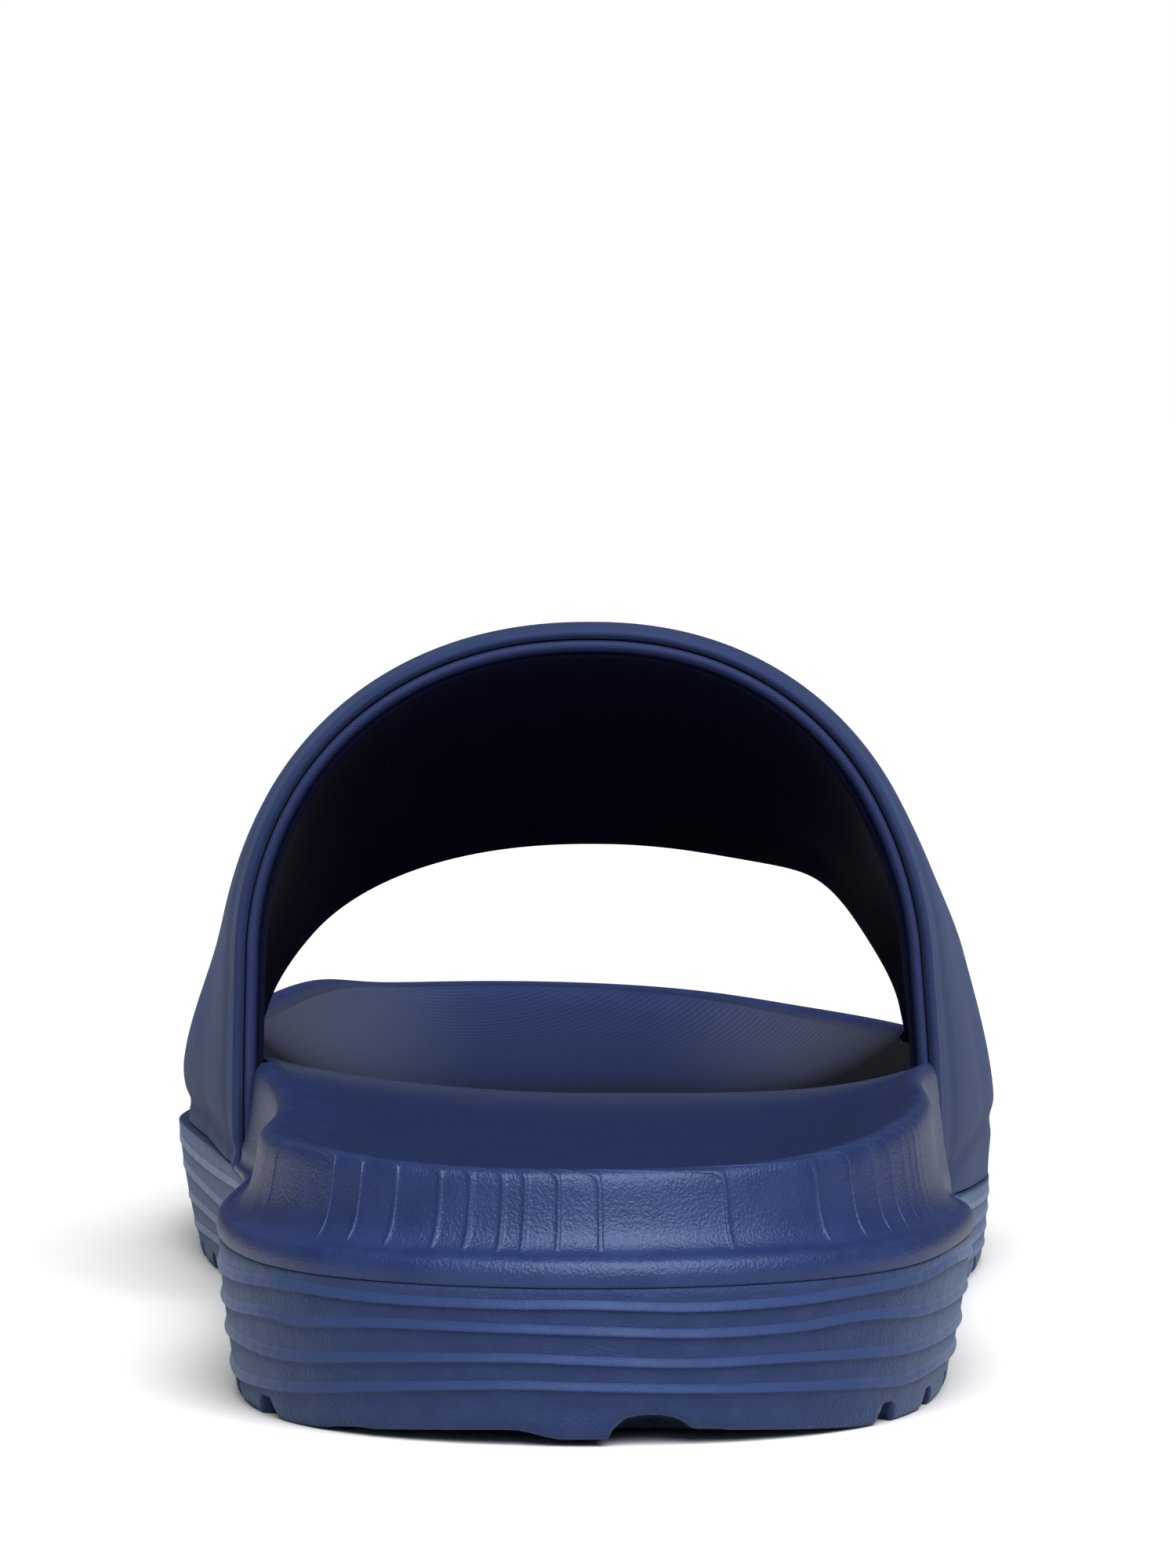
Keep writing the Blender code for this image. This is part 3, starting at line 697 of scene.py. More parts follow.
    def underside(self, y: Array) -> Array:
        """Height of the tread's face: rolled up at the heel, lifted at the arch, sprung at the toe."""
        roll = self.heel_lift * np.clip(1.0 - y / self.heel_roll, 0.0, 1.0) ** self.roll_power
        arch = self.arch_lift * window(y / self.length, self.arch_opens, self.arch_closes)
        run = np.clip((y - self.spring_start) / (self.length - self.spring_start), 0.0, None)
        return roll + arch + self.toe_spring * run**2

    def columns(self, fine: float, coarse: float, fine_reach: float) -> Columns:
        """Spread columns round the outline, closer together round the heel.

        Args:
            fine: spacing within fine_reach of the heel's rear end, along the outline.
            coarse: spacing further forward.
            fine_reach: length of outline on each side that has the fine spacing.

        Returns:
            The columns, as many on the medial half as on the lateral one.
        """
        closed = np.vstack((self.curve, self.curve[:1]))
        normals = np.vstack((self.curve_normals, self.curve_normals[:1]))
        travel = running(np.linalg.norm(np.diff(closed, axis=0), axis=1))
        lengths = (travel[self.toe], travel[-1] - travel[self.toe])
        run = np.linspace(0.0, 1.0, self.column_samples)
        close = ramp(run * max(lengths) / fine_reach, self.spacing_change)
        density = max(lengths) / (coarse + (fine - coarse) * close)
        total = running((density[1:] + density[:-1]) / 2 * np.diff(run))
        count = 4 * int(round(total[-1] / 4.0))
        share = np.interp(np.linspace(0.0, total[-1], count + 1), total, run)
        medial = share[:-1] * lengths[0]
        lateral = travel[-1] - share[::-1][:-1] * lengths[1]
        where = np.concatenate((medial, lateral))
        points = np.stack([np.interp(where, travel, closed[:, axis]) for axis in (0, 1)], axis=1)
        outward = np.stack([np.interp(where, travel, normals[:, axis]) for axis in (0, 1)], axis=1)
        outward /= np.linalg.norm(outward, axis=1)[:, None]
        sides = np.concatenate((-np.ones(count), np.ones(count)))
        sides[[0, count]] = 0.0
        arcs = np.concatenate((-medial, travel[-1] - lateral))
        arcs[count] = lengths[1]
        pair = np.concatenate((share[:-1], share[::-1][:-1]))
        ahead = (1.0 - np.cos(np.pi * pair)) / 2.0
        y = self.heel_width / 2 + ahead * (self.length - self.heel_width / 2 - self.ball_width / 2)
        spine = np.stack(((self.half_width(1.0, y) - self.half_width(-1.0, y)) / 2.0, y), axis=1)
        return Columns(points, outward, sides, arcs, spine, *self.edge_sizes(sides, points[:, 1]))

    def core(self, inner: Columns, gap: float = 0.0) -> Array:
        """Rings of the unseen face between the mouldings: a ledge round a hollow.

        Args:
            inner: every other column of the moulding.
            gap: how far the face is lifted.

        Returns:
            The rings' points, from the spine outwards.
        """
        ledge = inner.ring(self.ledge_width, inner.parting)
        mean = inner.parting.mean()
        rings = []
        for share in np.linspace(0.0, 1.0, self.core_rings):
            plan = inner.shrink(ledge, share)
            level = mean + (inner.parting - mean) * share
            drop = (1.0 - self.core_share) * (level - self.underside(plan[:, 1]))
            height = level - drop * ease((1.0 - share) / self.core_ease) + gap
            rings.append(np.column_stack((plan, height)))
        return np.array(rings)


@dataclass
class Midsole:
    """Lower moulding: a wall with four wavy ribs, and a tread of lugs between wavy grooves."""

    form: SoleForm
    finish: MidsoleFinish = field(default_factory=MidsoleFinish)
    spacing: float = 0.00075
    wall_inset: float = 0.0003
    heel_reach: float = 0.05
    top_chamfer: float = 0.00015
    rib_proud: float = 0.00040
    rib_fade: float = 0.60
    rib_fade_run: Pair = (0.090, 0.060)
    lean_power: float = 1.4
    wave_height: float = 0.030
    wave_turns: float = 5.2
    wave_phases: tuple = (0.0, 1.1, 2.3, 3.4)
    wave_opens: Pair = (1.0, 0.6)
    wave_closes: Pair = (3.6, -0.5)
    corner_width: float = 0.0009
    corner_height: float = 0.0024
    corner_share: float = 0.1
    corner_rows: int = 6
    groove_width: float = 0.0032
    groove_flank: Pair = (0.36, 0.28)
    groove_depth: float = 0.0024
    groove_wave: float = 0.0040
    bite_ease: float = 0.004
    lug_drop: float = 0.0011
    lug_opens: Pair = (-0.0088, 0.0060)
    lug_closes: Pair = (0.0025, -0.0005)
    lug_end: Pair = (0.016, -0.006)
    underside_rings: int = 44
    sharp: float = 55.0
    ribs: tuple = (
        # arc in heel widths, height of the four ribs as shares of the wall
        (-1.40, 0.835, 0.620, 0.400, 0.220),
        (-0.79, 0.805, 0.605, 0.405, 0.170),
        (-0.68, 0.815, 0.615, 0.412, 0.165),
        (-0.51, 0.868, 0.672, 0.417, 0.205),
        (-0.43, 0.880, 0.656, 0.421, 0.220),
        (-0.285, 0.864, 0.694, 0.455, 0.255),
        (-0.10, 0.857, 0.686, 0.473, 0.275),
        (0.00, 0.860, 0.672, 0.455, 0.262),
        (0.137, 0.834, 0.646, 0.432, 0.247),
        (0.274, 0.847, 0.662, 0.452, 0.251),
        (0.40, 0.878, 0.706, 0.453, 0.254),
        (0.55, 0.888, 0.664, 0.436, 0.235),
        (0.66, 0.905, 0.648, 0.430, 0.252),
        (0.79, 0.880, 0.640, 0.428, 0.245),
        (1.40, 0.835, 0.620, 0.400, 0.220),
    )
    rib_section: tuple = (
        # height above the lip, share of the rib's stand-out, stripe
        (0.00170, 0.00, 0.0),
        (0.00124, 0.00, 0.0),
        (0.00112, 0.04, 0.9),
        (0.00094, 0.16, 1.0),
        (0.00055, 0.52, 1.0),
        (0.00018, 0.90, 1.0),
        (0.00004, 1.00, 0.9),
        (-0.00005, 0.97, 0.5),
        (-0.00013, 0.45, 0.0),
        (-0.00022, 0.04, 0.0),
        (-0.00055, 0.00, 0.0),
    )
    grooves: tuple = (0.085, 0.135, 0.185, 0.235, 0.285, 0.52, 0.57, 0.62, 0.67, 0.72, 0.77, 0.82, 0.87)
    bites: tuple = (
        # across, half width, height, length
        (-0.0355, 0.0010, 0.0003, 0.030),
        (-0.0268, 0.0024, 0.0002, 0.020),
        (0.0069, 0.0043, 0.0017, 0.014),
        (0.0127, 0.0022, 0.0003, 0.010),
        (0.0346, 0.0012, 0.0004, 0.026),
    )

    def tread(self, x: Array, y: Array) -> Array:
        """Height of the tread: the rolled face, plus grooves and rear bites, less the rear lug.

        A groove's section falls off smoothly on both sides of a sine line across the sole. A bite
        is half an ellipse across, and ends smoothly at its length.
        """
        base = self.form.underside(y)
        wave = self.groove_wave * np.sin(4.0 * np.pi * x / self.form.ball_width)
        depth = np.zeros_like(y)
        for place in self.grooves:
            away = np.abs(y - self.form.length * place - wave)
            cut = 1.0 - ramp(away / self.groove_width, self.groove_flank)
            depth = np.maximum(depth, self.groove_depth * cut)
        for across, half, height, length in self.bites:
            arch = np.sqrt(np.clip(1.0 - ((x - across) / half) ** 2, 0.0, 1.0))
            depth = np.maximum(depth, height * arch * ease((length - y) / self.bite_ease))
        lug = window(x, self.lug_opens, self.lug_closes) * ramp(y, self.lug_end)
        return np.maximum(base + depth - self.lug_drop * lug, np.minimum(base, 0.0))

    def rib_heights(self, columns: Columns) -> Array:
        """Heights of the four lips as shares of the wall, with slow waves past the heel."""
        turn = columns.arcs / self.form.heel_width
        heights = smooth_columns(self.ribs, turn)
        away = np.abs(turn)
        share = window(away, self.wave_opens, self.wave_closes)
        phases = np.array(self.wave_phases)[:, None]
        return heights + self.wave_height * share * np.sin(self.wave_turns * away + phases)

    def build(self) -> bpy.types.Object:
        """Build the moulding as one closed mesh, dress it and give it back."""
        form = self.form
        columns = form.columns(self.spacing, self.spacing, self.heel_reach)
        inner = columns.half()
        surface = Surface()
        floor = form.underside(columns.points[:, 1])
        wall = columns.parting - floor
        core_index = surface.add(form.place(form.core(inner)))
        surface.rings(core_index)

        def lean(share: Array) -> Array:
            """Inset of the wall at a share of its height."""
            return self.wall_inset + columns.lean * np.clip(1.0 - share, 0.0, 1.0) ** self.lean_power

        rows = [columns.ring(self.wall_inset + self.top_chamfer, columns.parting)]
        rows.append(columns.ring(self.wall_inset, columns.parting - self.top_chamfer))
        stripes = [0.0, 0.0]
        far = 1.0 - self.rib_fade * ramp(np.abs(columns.arcs), self.rib_fade_run)
        for lip in self.rib_heights(columns):
            for up, proud, stripe in self.rib_section:
                share = lip + up / form.parting_height
                inset = lean(share) - self.rib_proud * proud * far
                rows.append(columns.ring(inset, floor + share * wall))
                stripes.append(stripe)
        edge_inset = lean(np.full(columns.count, self.corner_share)) + self.corner_width
        edge = columns.points - columns.normals * edge_inset[:, None]
        low = self.tread(edge[:, 0], edge[:, 1])
        top = floor + self.corner_height
        for angle in np.radians(np.linspace(0.0, 90.0, self.corner_rows)):
            inset = edge_inset - self.corner_width * np.cos(angle)
            rows.append(columns.ring(inset, low + (top - low) * (1.0 - np.sin(angle))))
            stripes.append(0.0)
        wall_index = surface.add(form.place(np.array(rows)), {"stripe": np.array(stripes)[:, None]})
        surface.halve(wall_index[0], core_index[-1], grows=True)
        surface.rings(wall_index)

        under = []
        start = rows[-1][::2]
        for share in np.linspace(1.0, 0.0, self.underside_rings + 1)[1:]:
            plan = inner.shrink(start, share)
            under.append(np.column_stack((plan, self.tread(plan[:, 0], plan[:, 1]))))
        under_index = surface.add(form.place(np.array(under)))
        surface.halve(wall_index[-1], under_index[0])
        surface.rings(under_index)
        thing = surface.mesh("midsole_moulding", self.sharp)
        thing.data.materials.append(self.finish.material())
        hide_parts("midsole")
        return thing


@dataclass
class Strap:
    """Padded band: a coated skin outside, and a lining over foam inside with a bead at both edges."""

    form: SoleForm
    skin_finish: SkinFinish = field(default_factory=SkinFinish)
    lining_finish: LiningFinish = field(default_factory=LiningFinish)
    top: float = 0.0880
    width: float = 0.0840
    rear: float = 0.1190
    edge_wall: float = 0.0040
    pad_wall: float = 0.0056
    crown: float = 0.00085
    crown_fall: float = 6.0
    crown_run: Pair = (0.88, 0.12)
    skin: float = 0.00145
    edge_round: float = 0.0012
    seat_gap: float = 0.0003
    slot: float = 0.0016
    front_lift: tuple[float, float, float] = (0.34, 0.12, 0.0024)
    front_run: Pair = (0.70, 0.30)
    side_share: float = 0.34
    flare_run: Pair = (0.45, 0.47)
    bow_power: float = 0.92
    level_run: Pair = (0.72, 0.20)
    seat_start: Pair = (0.85, -0.12)
    seat_range: Pair = (0.4, 1.1)
    seat_height: float = 0.028
    seat_tries: int = 10
    steps: int = 330
    bands: int = 58
    roll_rows: int = 9
    roll_angle: float = 80.0
    bead_rows: int = 25
    bead_fade: Pair = (4.0, 2.0)
    centre_grid: tuple[int, int] = (37, 13)
    sharp: float = 50.0
    stations: tuple = (
        # along, medial, lateral, medial flare, lateral flare, top, side top, sweep
        (0.00, 0.819, 0.774, 0.014, 0.044, 0.991, 0.515, 0.115),
        (0.35, 0.845, 0.807, 0.067, 0.115, 0.949, 0.506, 0.120),
        (0.70, 0.839, 0.835, 0.154, 0.143, 0.806, 0.467, 0.130),
        (1.00, 0.842, 0.816, 0.100, 0.072, 0.665, 0.364, 0.140),
    )
    bead: tuple = (
        # step, reach past the edge, depth below the outer face
        (0.0, 0.00000, 0.00158),
        (1.0, 0.00060, 0.00166),
        (2.0, 0.00100, 0.00205),
        (3.0, 0.00100, 0.00252),
        (4.0, 0.00060, 0.00290),
        (5.0, -0.00020, 0.00308),
        (6.0, -0.00070, 0.00322),
        (7.0, -0.00055, 0.00352),
        (8.0, -0.00060, 0.00385),
    )
    troughs: tuple = (
        # side, distance above the foot at the rear edge, rise towards the front, reach, depth
        (-1.0, 0.0022, 0.0010, 0.0012, 0.00045),
        (1.0, 0.0022, 0.0060, 0.0016, 0.00050),
    )
    trough_front: float = 0.90
    edge_trough: float = 0.00030
    edge_trough_place: float = 0.0050
    edge_trough_reach: float = 0.0022

    def outer(self, s: Array, t: Array) -> Array:
        """Outer face: s from -1 at the medial end to 1 at the lateral end, t from rear to front.

        Over the foot a section is half an ellipse that stands on two sides, which flare out
        towards the sole. Between its edges the padded face stands out by the crown, which runs
        out towards the ends. The front edge is lifted beside the little toe.
        """
        sizes = smooth_columns(self.stations, t, level_ends=False)
        half_ball = self.form.ball_width / 2
        scale = np.array([half_ball] * 4 + [self.top] * 2 + [self.width])
        sizes = sizes * scale.reshape((7,) + (1,) * np.ndim(t))
        medial, lateral, medial_flare, lateral_flare, top, side_top, sweep = sizes
        between = 1.0 - np.abs(2.0 * t - 1.0) ** self.crown_fall
        crown = self.crown * between * (1.0 - ramp(np.abs(s), self.crown_run))
        half = np.where(s < 0, medial, lateral) + crown
        flare = np.where(s < 0, medial_flare, lateral_flare)
        bend = np.clip(np.abs(s) / (1.0 - self.side_share), 0.0, 1.0) * np.pi / 2
        down = np.clip((np.abs(s) - (1.0 - self.side_share)) / self.side_share, 0.0, None)
        y = self.rear + t * self.width + sweep * ease(np.abs(s))
        foot = self.form.edge_sizes(np.sign(s), y)[0] + self.seat_gap
        x = np.sign(s) * (half * np.sin(bend) ** self.bow_power + flare * ramp(np.abs(s), self.flare_run))
        z = side_top + (top + crown - side_top) * np.cos(bend) + (foot - side_top) * down
        place, reach, lift = self.front_lift
        z = z + lift * bell(s - place, reach) * ramp(t, self.front_run)
        return np.stack((x, y, z), axis=-1)

    def normals(self, s: Array, t: Array) -> Array:
        """Outward normals of the outer face, turned level towards its ends."""
        step = 1e-3
        along = self.outer(s + step, t) - self.outer(s - step, t)
        across = self.outer(s, t + step) - self.outer(s, t - step)
        normal = np.cross(along, across)
        normal[..., 2] *= 1.0 - ramp(np.abs(s), self.level_run)
        return normal / np.linalg.norm(normal, axis=-1)[..., None]

    def centre(self) -> None:
        """Set the form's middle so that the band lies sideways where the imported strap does.

        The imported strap's corners lie on the same face, at the places of centre_grid.
        """
        low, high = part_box("strap")
        across, along = self.centre_grid
        s, t = np.meshgrid(np.linspace(-1.0, 1.0, across), np.linspace(0.0, 1.0, along))
        x = self.outer(s, t)[..., 0]
        self.form.middle = (x.min() + x.max() - low[0] - high[0]) / 2.0

    def wall(self, t: Array) -> Array:
        """Thickness of the whole wall at t: thin at both edges, full where it is padded."""
        pad = np.sqrt(np.clip(4.0 * t * (1.0 - t), 0.0, 1.0))
        return self.edge_wall + (self.pad_wall - self.edge_wall) * pad

    def inner(self, s: Array, t: Array, gap: float) -> Array:
        """Inner face, carried inwards by a further gap."""
        return self.outer(s, t) - self.normals(s, t) * (self.wall(t) + gap)[..., None]

    def seat(self, side: float, y: Array, z: Array) -> Array:
        """Find how far out the footbed may reach inside the strap's end at y and z.

        Args:
            side: -1 for the medial end, 1 for the lateral end.
            y: distances from the heel's rear end.
            z: heights.

        Returns:
            The distance from the middle line, and infinity off the seat.
        """
        past = (self.slot + self.edge_round) / self.width
        s = np.full(y.shape, self.seat_start[0])
        t = (y - self.rear) / self.width + self.seat_start[1]
        for _ in range(self.seat_tries):
            held = np.clip(t, 0.0, 1.0)
            found = self.inner(side * s, held, self.seat_gap)
            found_y = found[..., 1] + (t - held) * self.width
            t = t + (y - found_y) / self.width
            s = np.clip(s + (found[..., 2] - z) * self.side_share / self.seat_height, *self.seat_range)
        found = self.inner(side * s, np.clip(t, 0.0, 1.0), self.seat_gap)
        off = (t < -past) | (t > 1.0 + past)
        return np.where(off, np.inf, np.abs(found[..., 0]))

    def dents(self, s: Array, t: Array) -> Array:
        """Depth of the soft troughs: one above each end, and one beside both edges."""
        point = self.outer(s, t)
        foot = self.form.edge_sizes(np.sign(s), point[..., 1])[0]
        depth = np.zeros(np.shape(s))
        for side, above, rise, reach, deep in self.troughs:
            height = foot + above + rise * np.sin(np.pi * np.clip(t, 0.0, self.trough_front))
            depth = depth + deep * bell(point[..., 2] - height, reach) * (np.sign(s) == side)
        for place in (self.edge_trough_place, self.width - self.edge_trough_place):
            beside = bell(t * self.width - place, self.edge_trough_reach)
            depth = depth + self.edge_trough * beside
        return depth

    def sweep(self, run: Array, turn: tuple[Array, ...], faces: tuple, name: str) -> bpy.types.Object:
        """Carry a closed section across the foot, from one end to the other.

        Args:
            run: places from the rear edge, 0, to the front edge, 1.
            turn: round the front edge, from the outer to the inner face, the reach past the edge,
                the depth below the strap's outer face and the share of bead; the rear mirrors it.
            faces: depth of the piece's outer face, and of its inner face from front to rear.
            name: name of the object.

        Returns:
            The piece.
        """
        reach, depth, bead = turn
        front, level = np.ones(len(reach)), 0.0 * run
        place = np.concatenate((run, front, run[::-1], 0.0 * front))
        reach = np.concatenate((level, reach, level, -reach[::-1]))
        depth = np.concatenate((level + faces[0], depth, level + faces[1], depth[::-1]))
        bead = np.concatenate((level + bead[0], bead, level, bead[::-1]))
        s = np.linspace(-1.0, 1.0, self.steps + 1)[:, None] + 0.0 * place
        t = np.broadcast_to(place, s.shape)
        dents = self.dents(s, t) * np.clip(1.0 - depth / self.skin, 0.0, 1.0)
        points = self.outer(s, t) - self.normals(s, t) * (depth + dents)[..., None]
        points[..., 1] += reach
        girth = np.linalg.norm(np.diff(points[:, 0], axis=0), axis=1)
        values = {
            "along": running(np.hypot(np.diff(place * self.width + reach), np.diff(depth))),
            "across": running(girth)[:, None],
            "bead": bead,
        }
        surface = Surface()
        index = surface.add(self.form.place(points), values)
        surface.rings(index)
        surface.close_loop(index[0])
        surface.close_loop(index[-1])
        return surface.mesh(name, self.sharp)

    def build_skin(self) -> bpy.types.Object:
        """Build the coated skin: a layer of even thickness, rolled round at both edges."""
        run = np.linspace(0.0, 1.0, self.bands + 1)
        bends = np.radians(np.linspace(self.roll_angle, -self.roll_angle, self.roll_rows))
        down = self.skin * (1.0 - np.sin(bends)) / 2.0
        turn = (self.edge_round * np.cos(bends), down, 0.0 * bends)
        thing = self.sweep(run, turn, (0.0, self.skin), "strap_skin")
        thing.data.materials.append(self.skin_finish.material())
        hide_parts("strap")
        return thing

    def build_lining(self) -> bpy.types.Object:
        """Build foam and lining as one padded body: a bead at both edges, a crease and a soft face."""
        run = np.linspace(0.0, 1.0, self.bands + 1)[1:-1]
        steps = np.linspace(0.0, self.bead[-1][0], self.bead_rows)
        reach, depth = smooth_columns(self.bead, steps)
        turn = (reach, depth, 1.0 - ramp(steps, self.bead_fade))
        thing = self.sweep(run, turn, (self.bead[0][2], self.wall(run[::-1])), "strap_lining")
        thing.data.materials.append(self.lining_finish.material())
        return thing


@dataclass
class Footbed:
    """Upper moulding: shoulder, flange, rim and contoured bed, with a seat for each strap end."""

    form: SoleForm
    strap: Strap
    finish: FootbedFinish = field(default_factory=FootbedFinish)
    fine: float = 0.00026
    coarse: float = 0.00095
    fine_reach: float = 0.062
    base_gap: float = 0.00006
    chamfer: float = 0.00025
    flange_lean: float = 0.0014
    rim_width: float = 0.0029
    edge_rows: int = 76
    bed_rows: int = 36
    ridge_height: float = 0.00011
    ridge_reach: float = 0.00034
    line_reach: float = 0.00034
    line_pitch: float = 0.00110
    bend: float = 0.00012
    bend_start: float = 0.00035
    ring_pitch: float = 0.00135
    ring_centre: Pair = (-0.025, 0.300)
    ring_strength: tuple[float, float, float] = (0.12, 0.55, 0.08)
    line_width: Pair = (0.001, 0.30)
    seat_step: float = 0.000004
    sharp: float = 55.0
    # ramps over the steps of edge_profile
    ridge_opens: Pair = (5.6, 1.0)
    ridge_closes: Pair = (13.6, -1.2)
    line_opens: Pair = (5.4, 1.4)
    line_closes: Pair = (13.9, -0.8)
    rim_opens: Pair = (12.1, 1.8)
    # ramps over a ridge's half width, the pitch of the ridges and the arc from the heel
    ridge_flank: Pair = (0.6, 0.8)
    ridge_pitch: Pair = (0.0011, 0.0008)
    ridge_end: Pair = (0.066, -0.006)
    # the bed's look: its share on the rim, which lays painted shade there, its run inwards, and where the
    # painted reflection lies
    # share of the bed's painted shade and matte finish that is laid on the rim
    rim_bed: float = 0.35
    bed_run: float = 0.22
    reflection_front: Pair = (0.40, 0.12)
    reflection_side: Pair = (0.18, 0.60)
    reflection_across: tuple[float, float, float] = (0.435, 0.035, 0.40)
    edge_profile: tuple = (
        # step, chamfer in, shoulder in, lean in, rim in, shoulder up, flange up
        (0.0, 1.0, 0.05, 0.00, 0.00, 0.00, 0.000),
        (1.0, 0.0, 0.03, 0.00, 0.00, 0.09, 0.000),
        (2.0, 0.0, 0.00, 0.00, 0.00, 0.45, 0.000),
        (3.0, 0.0, 0.10, 0.00, 0.00, 0.80, 0.000),
        (4.0, 0.0, 0.30, 0.00, 0.00, 0.97, 0.000),
        (5.0, 0.0, 0.52, 0.00, 0.00, 1.00, 0.000),
        (6.0, 0.0, 0.77, 0.00, 0.00, 1.00, 0.045),
        (7.0, 0.0, 0.96, 0.00, 0.00, 1.00, 0.140),
        (8.0, 0.0, 1.00, 0.30, 0.00, 1.00, 0.270),
        (9.0, 0.0, 1.00, 0.60, 0.00, 1.00, 0.440),
        (10.0, 0.0, 1.00, 0.82, 0.00, 1.00, 0.630),
        (11.0, 0.0, 1.00, 0.95, 0.03, 1.00, 0.820),
        (12.0, 0.0, 1.00, 1.00, 0.16, 1.00, 0.945),
        (13.0, 0.0, 1.00, 1.00, 0.50, 1.00, 1.000),
        (14.0, 0.0, 1.00, 1.00, 1.00, 1.00, 0.960),
    )
    bed: tuple = (
        # along, height, medial turn, lateral turn
        (0.00, 0.86, 2.6, 2.6),
        (0.15, 0.80, 2.5, 2.6),
        (0.29, 0.84, 2.2, 2.8),
        (0.43, 0.98, 1.9, 4.0),
        (0.53, 0.86, 2.2, 4.0),
        (0.64, 0.68, 4.0, 4.5),
        (0.74, 0.65, 5.0, 5.0),
        (0.85, 0.75, 5.0, 5.0),
        (0.93, 0.88, 4.0, 4.0),
        (1.00, 0.98, 3.5, 3.5),
    )
    contours: tuple = (
        # arc in heel widths, contour lines crossed from the first one right of the left corner
        (-3.90, 130.0), (-1.00, 15.0), (-0.80, 9.0), (-0.73, 6.5), (-0.69, 4.2),
        (-0.645, 1.0), (-0.54, 0.45), (-0.436, 1.0), (-0.371, 2.0), (-0.300, 3.0),
        (-0.224, 4.0), (-0.175, 5.0), (-0.126, 6.0), (-0.092, 7.0), (-0.043, 8.0),
        (0.017, 9.0), (0.204, 10.0), (0.369, 11.0), (0.449, 12.0), (0.517, 13.0),
        (0.573, 14.0), (0.624, 15.0), (0.693, 17.0), (0.761, 19.0), (1.00, 27.0),
        (3.98, 105.0),
    )

    def bed_height(self, y: Array, sides: Array, edge: Array, share: float) -> Array:
        """Height of the bed: its middle line, rising towards the rim as a power of share."""
        height, medial, lateral = smooth_columns(self.bed, y / self.form.length)
        turn = medial + (lateral - medial) * (sides + 1.0) / 2.0
        middle = self.form.bed_height * height
        return middle + (edge - middle) * share**turn

    def edge_grid(self, columns: Columns) -> Array:
        """Rows of the edge from the parting line over shoulder, flange and rim."""
        form = self.form
        base = columns.parting + self.base_gap
        flange = columns.rim - base - columns.shoulder
        shelf = form.shoulder_width * columns.shoulder / form.shoulder_rise
        steps = np.linspace(0.0, self.edge_profile[-1][0], self.edge_rows)
        profile = smooth_columns(self.edge_profile, steps, level_ends=False)
        rows = []
        for chamfer, shoulder, lean, rim, rise, up in profile.T:
            inset = (chamfer * self.chamfer + shoulder * shelf
                     + lean * self.flange_lean + rim * self.rim_width)
            rows.append(columns.ring(inset, base + rise * columns.shoulder + up * flange))
        return np.array(rows)

    def bed_grid(self, columns: Columns, edge: Array) -> Array:
        """Rows of the bed from the rim's inner edge to the spine."""
        rows = []
        for share in np.linspace(1.0, 0.0, self.bed_rows + 1)[1:]:
            plan = columns.shrink(edge, share)
            height = self.bed_height(plan[:, 1], columns.sides, edge[:, 2], share)
            rows.append(np.column_stack((plan, height)))
        return np.array(rows)

    def cut_seat(self, grid: Array, columns: Columns, edge: Array) -> Array:
        """Hold the grid inside both strap ends, and below the bed's own height there."""
        grid = grid.copy()
        for side in (-1.0, 1.0):
            mine = columns.sides == side
            part = grid[:, mine]
            reach = self.strap.seat(side, part[..., 1], part[..., 2])
            rows = np.arange(len(grid))[:, None]
            limit = reach - self.seat_step * rows
            out = side * part[..., 0] > limit
            x = np.where(out, side * limit, part[..., 0])
            spine = columns.spine[mine, 0]
            share = np.clip((x - spine) / (edge[mine, 0] - spine), 0.0, 1.0)
            bed = self.bed_height(part[..., 1], columns.sides[mine], edge[mine, 2], share)
            z = np.where(out, np.minimum(part[..., 2], bed), part[..., 2])
            grid[:, mine, 0] = x
            grid[:, mine, 2] = z
        return grid

    def contour(self, columns: Columns, grid: Array) -> tuple[Array, Array]:
        """Number of contour lines passed at each point, and how many there are in a metre there.

        The count is a function of the arc, plus the distance in plan past the flange's top over
        the pitch. Its rate is the length of its gradient along rows and columns of the grid.
        """
        turn = columns.arcs / self.form.heel_width
        shelf = self.form.shoulder_width * columns.shoulder / self.form.shoulder_rise
        past = np.linalg.norm(grid[..., :2] - columns.points, axis=-1) - shelf
        past = past - self.flange_lean - self.bend_start
        past = self.bend * np.logaddexp(0.0, past / self.bend)
        count = smooth_columns(self.contours, turn, level_ends=False)[0] + past / self.line_pitch
        along = np.linalg.norm(np.roll(grid, -1, axis=1) - np.roll(grid, 1, axis=1), axis=-1)
        slope = np.abs(np.roll(count, -1, axis=1) - np.roll(count, 1, axis=1)) / np.maximum(along, TINY)
        half = columns.count // 2
        slope[:, [0, half]] = slope[:, [1, half - 1]]
        height = np.linalg.norm(np.gradient(grid, axis=0), axis=-1)
        steep = np.abs(np.gradient(count, axis=0)) / np.maximum(height, TINY)
        return count, np.hypot(slope, steep)

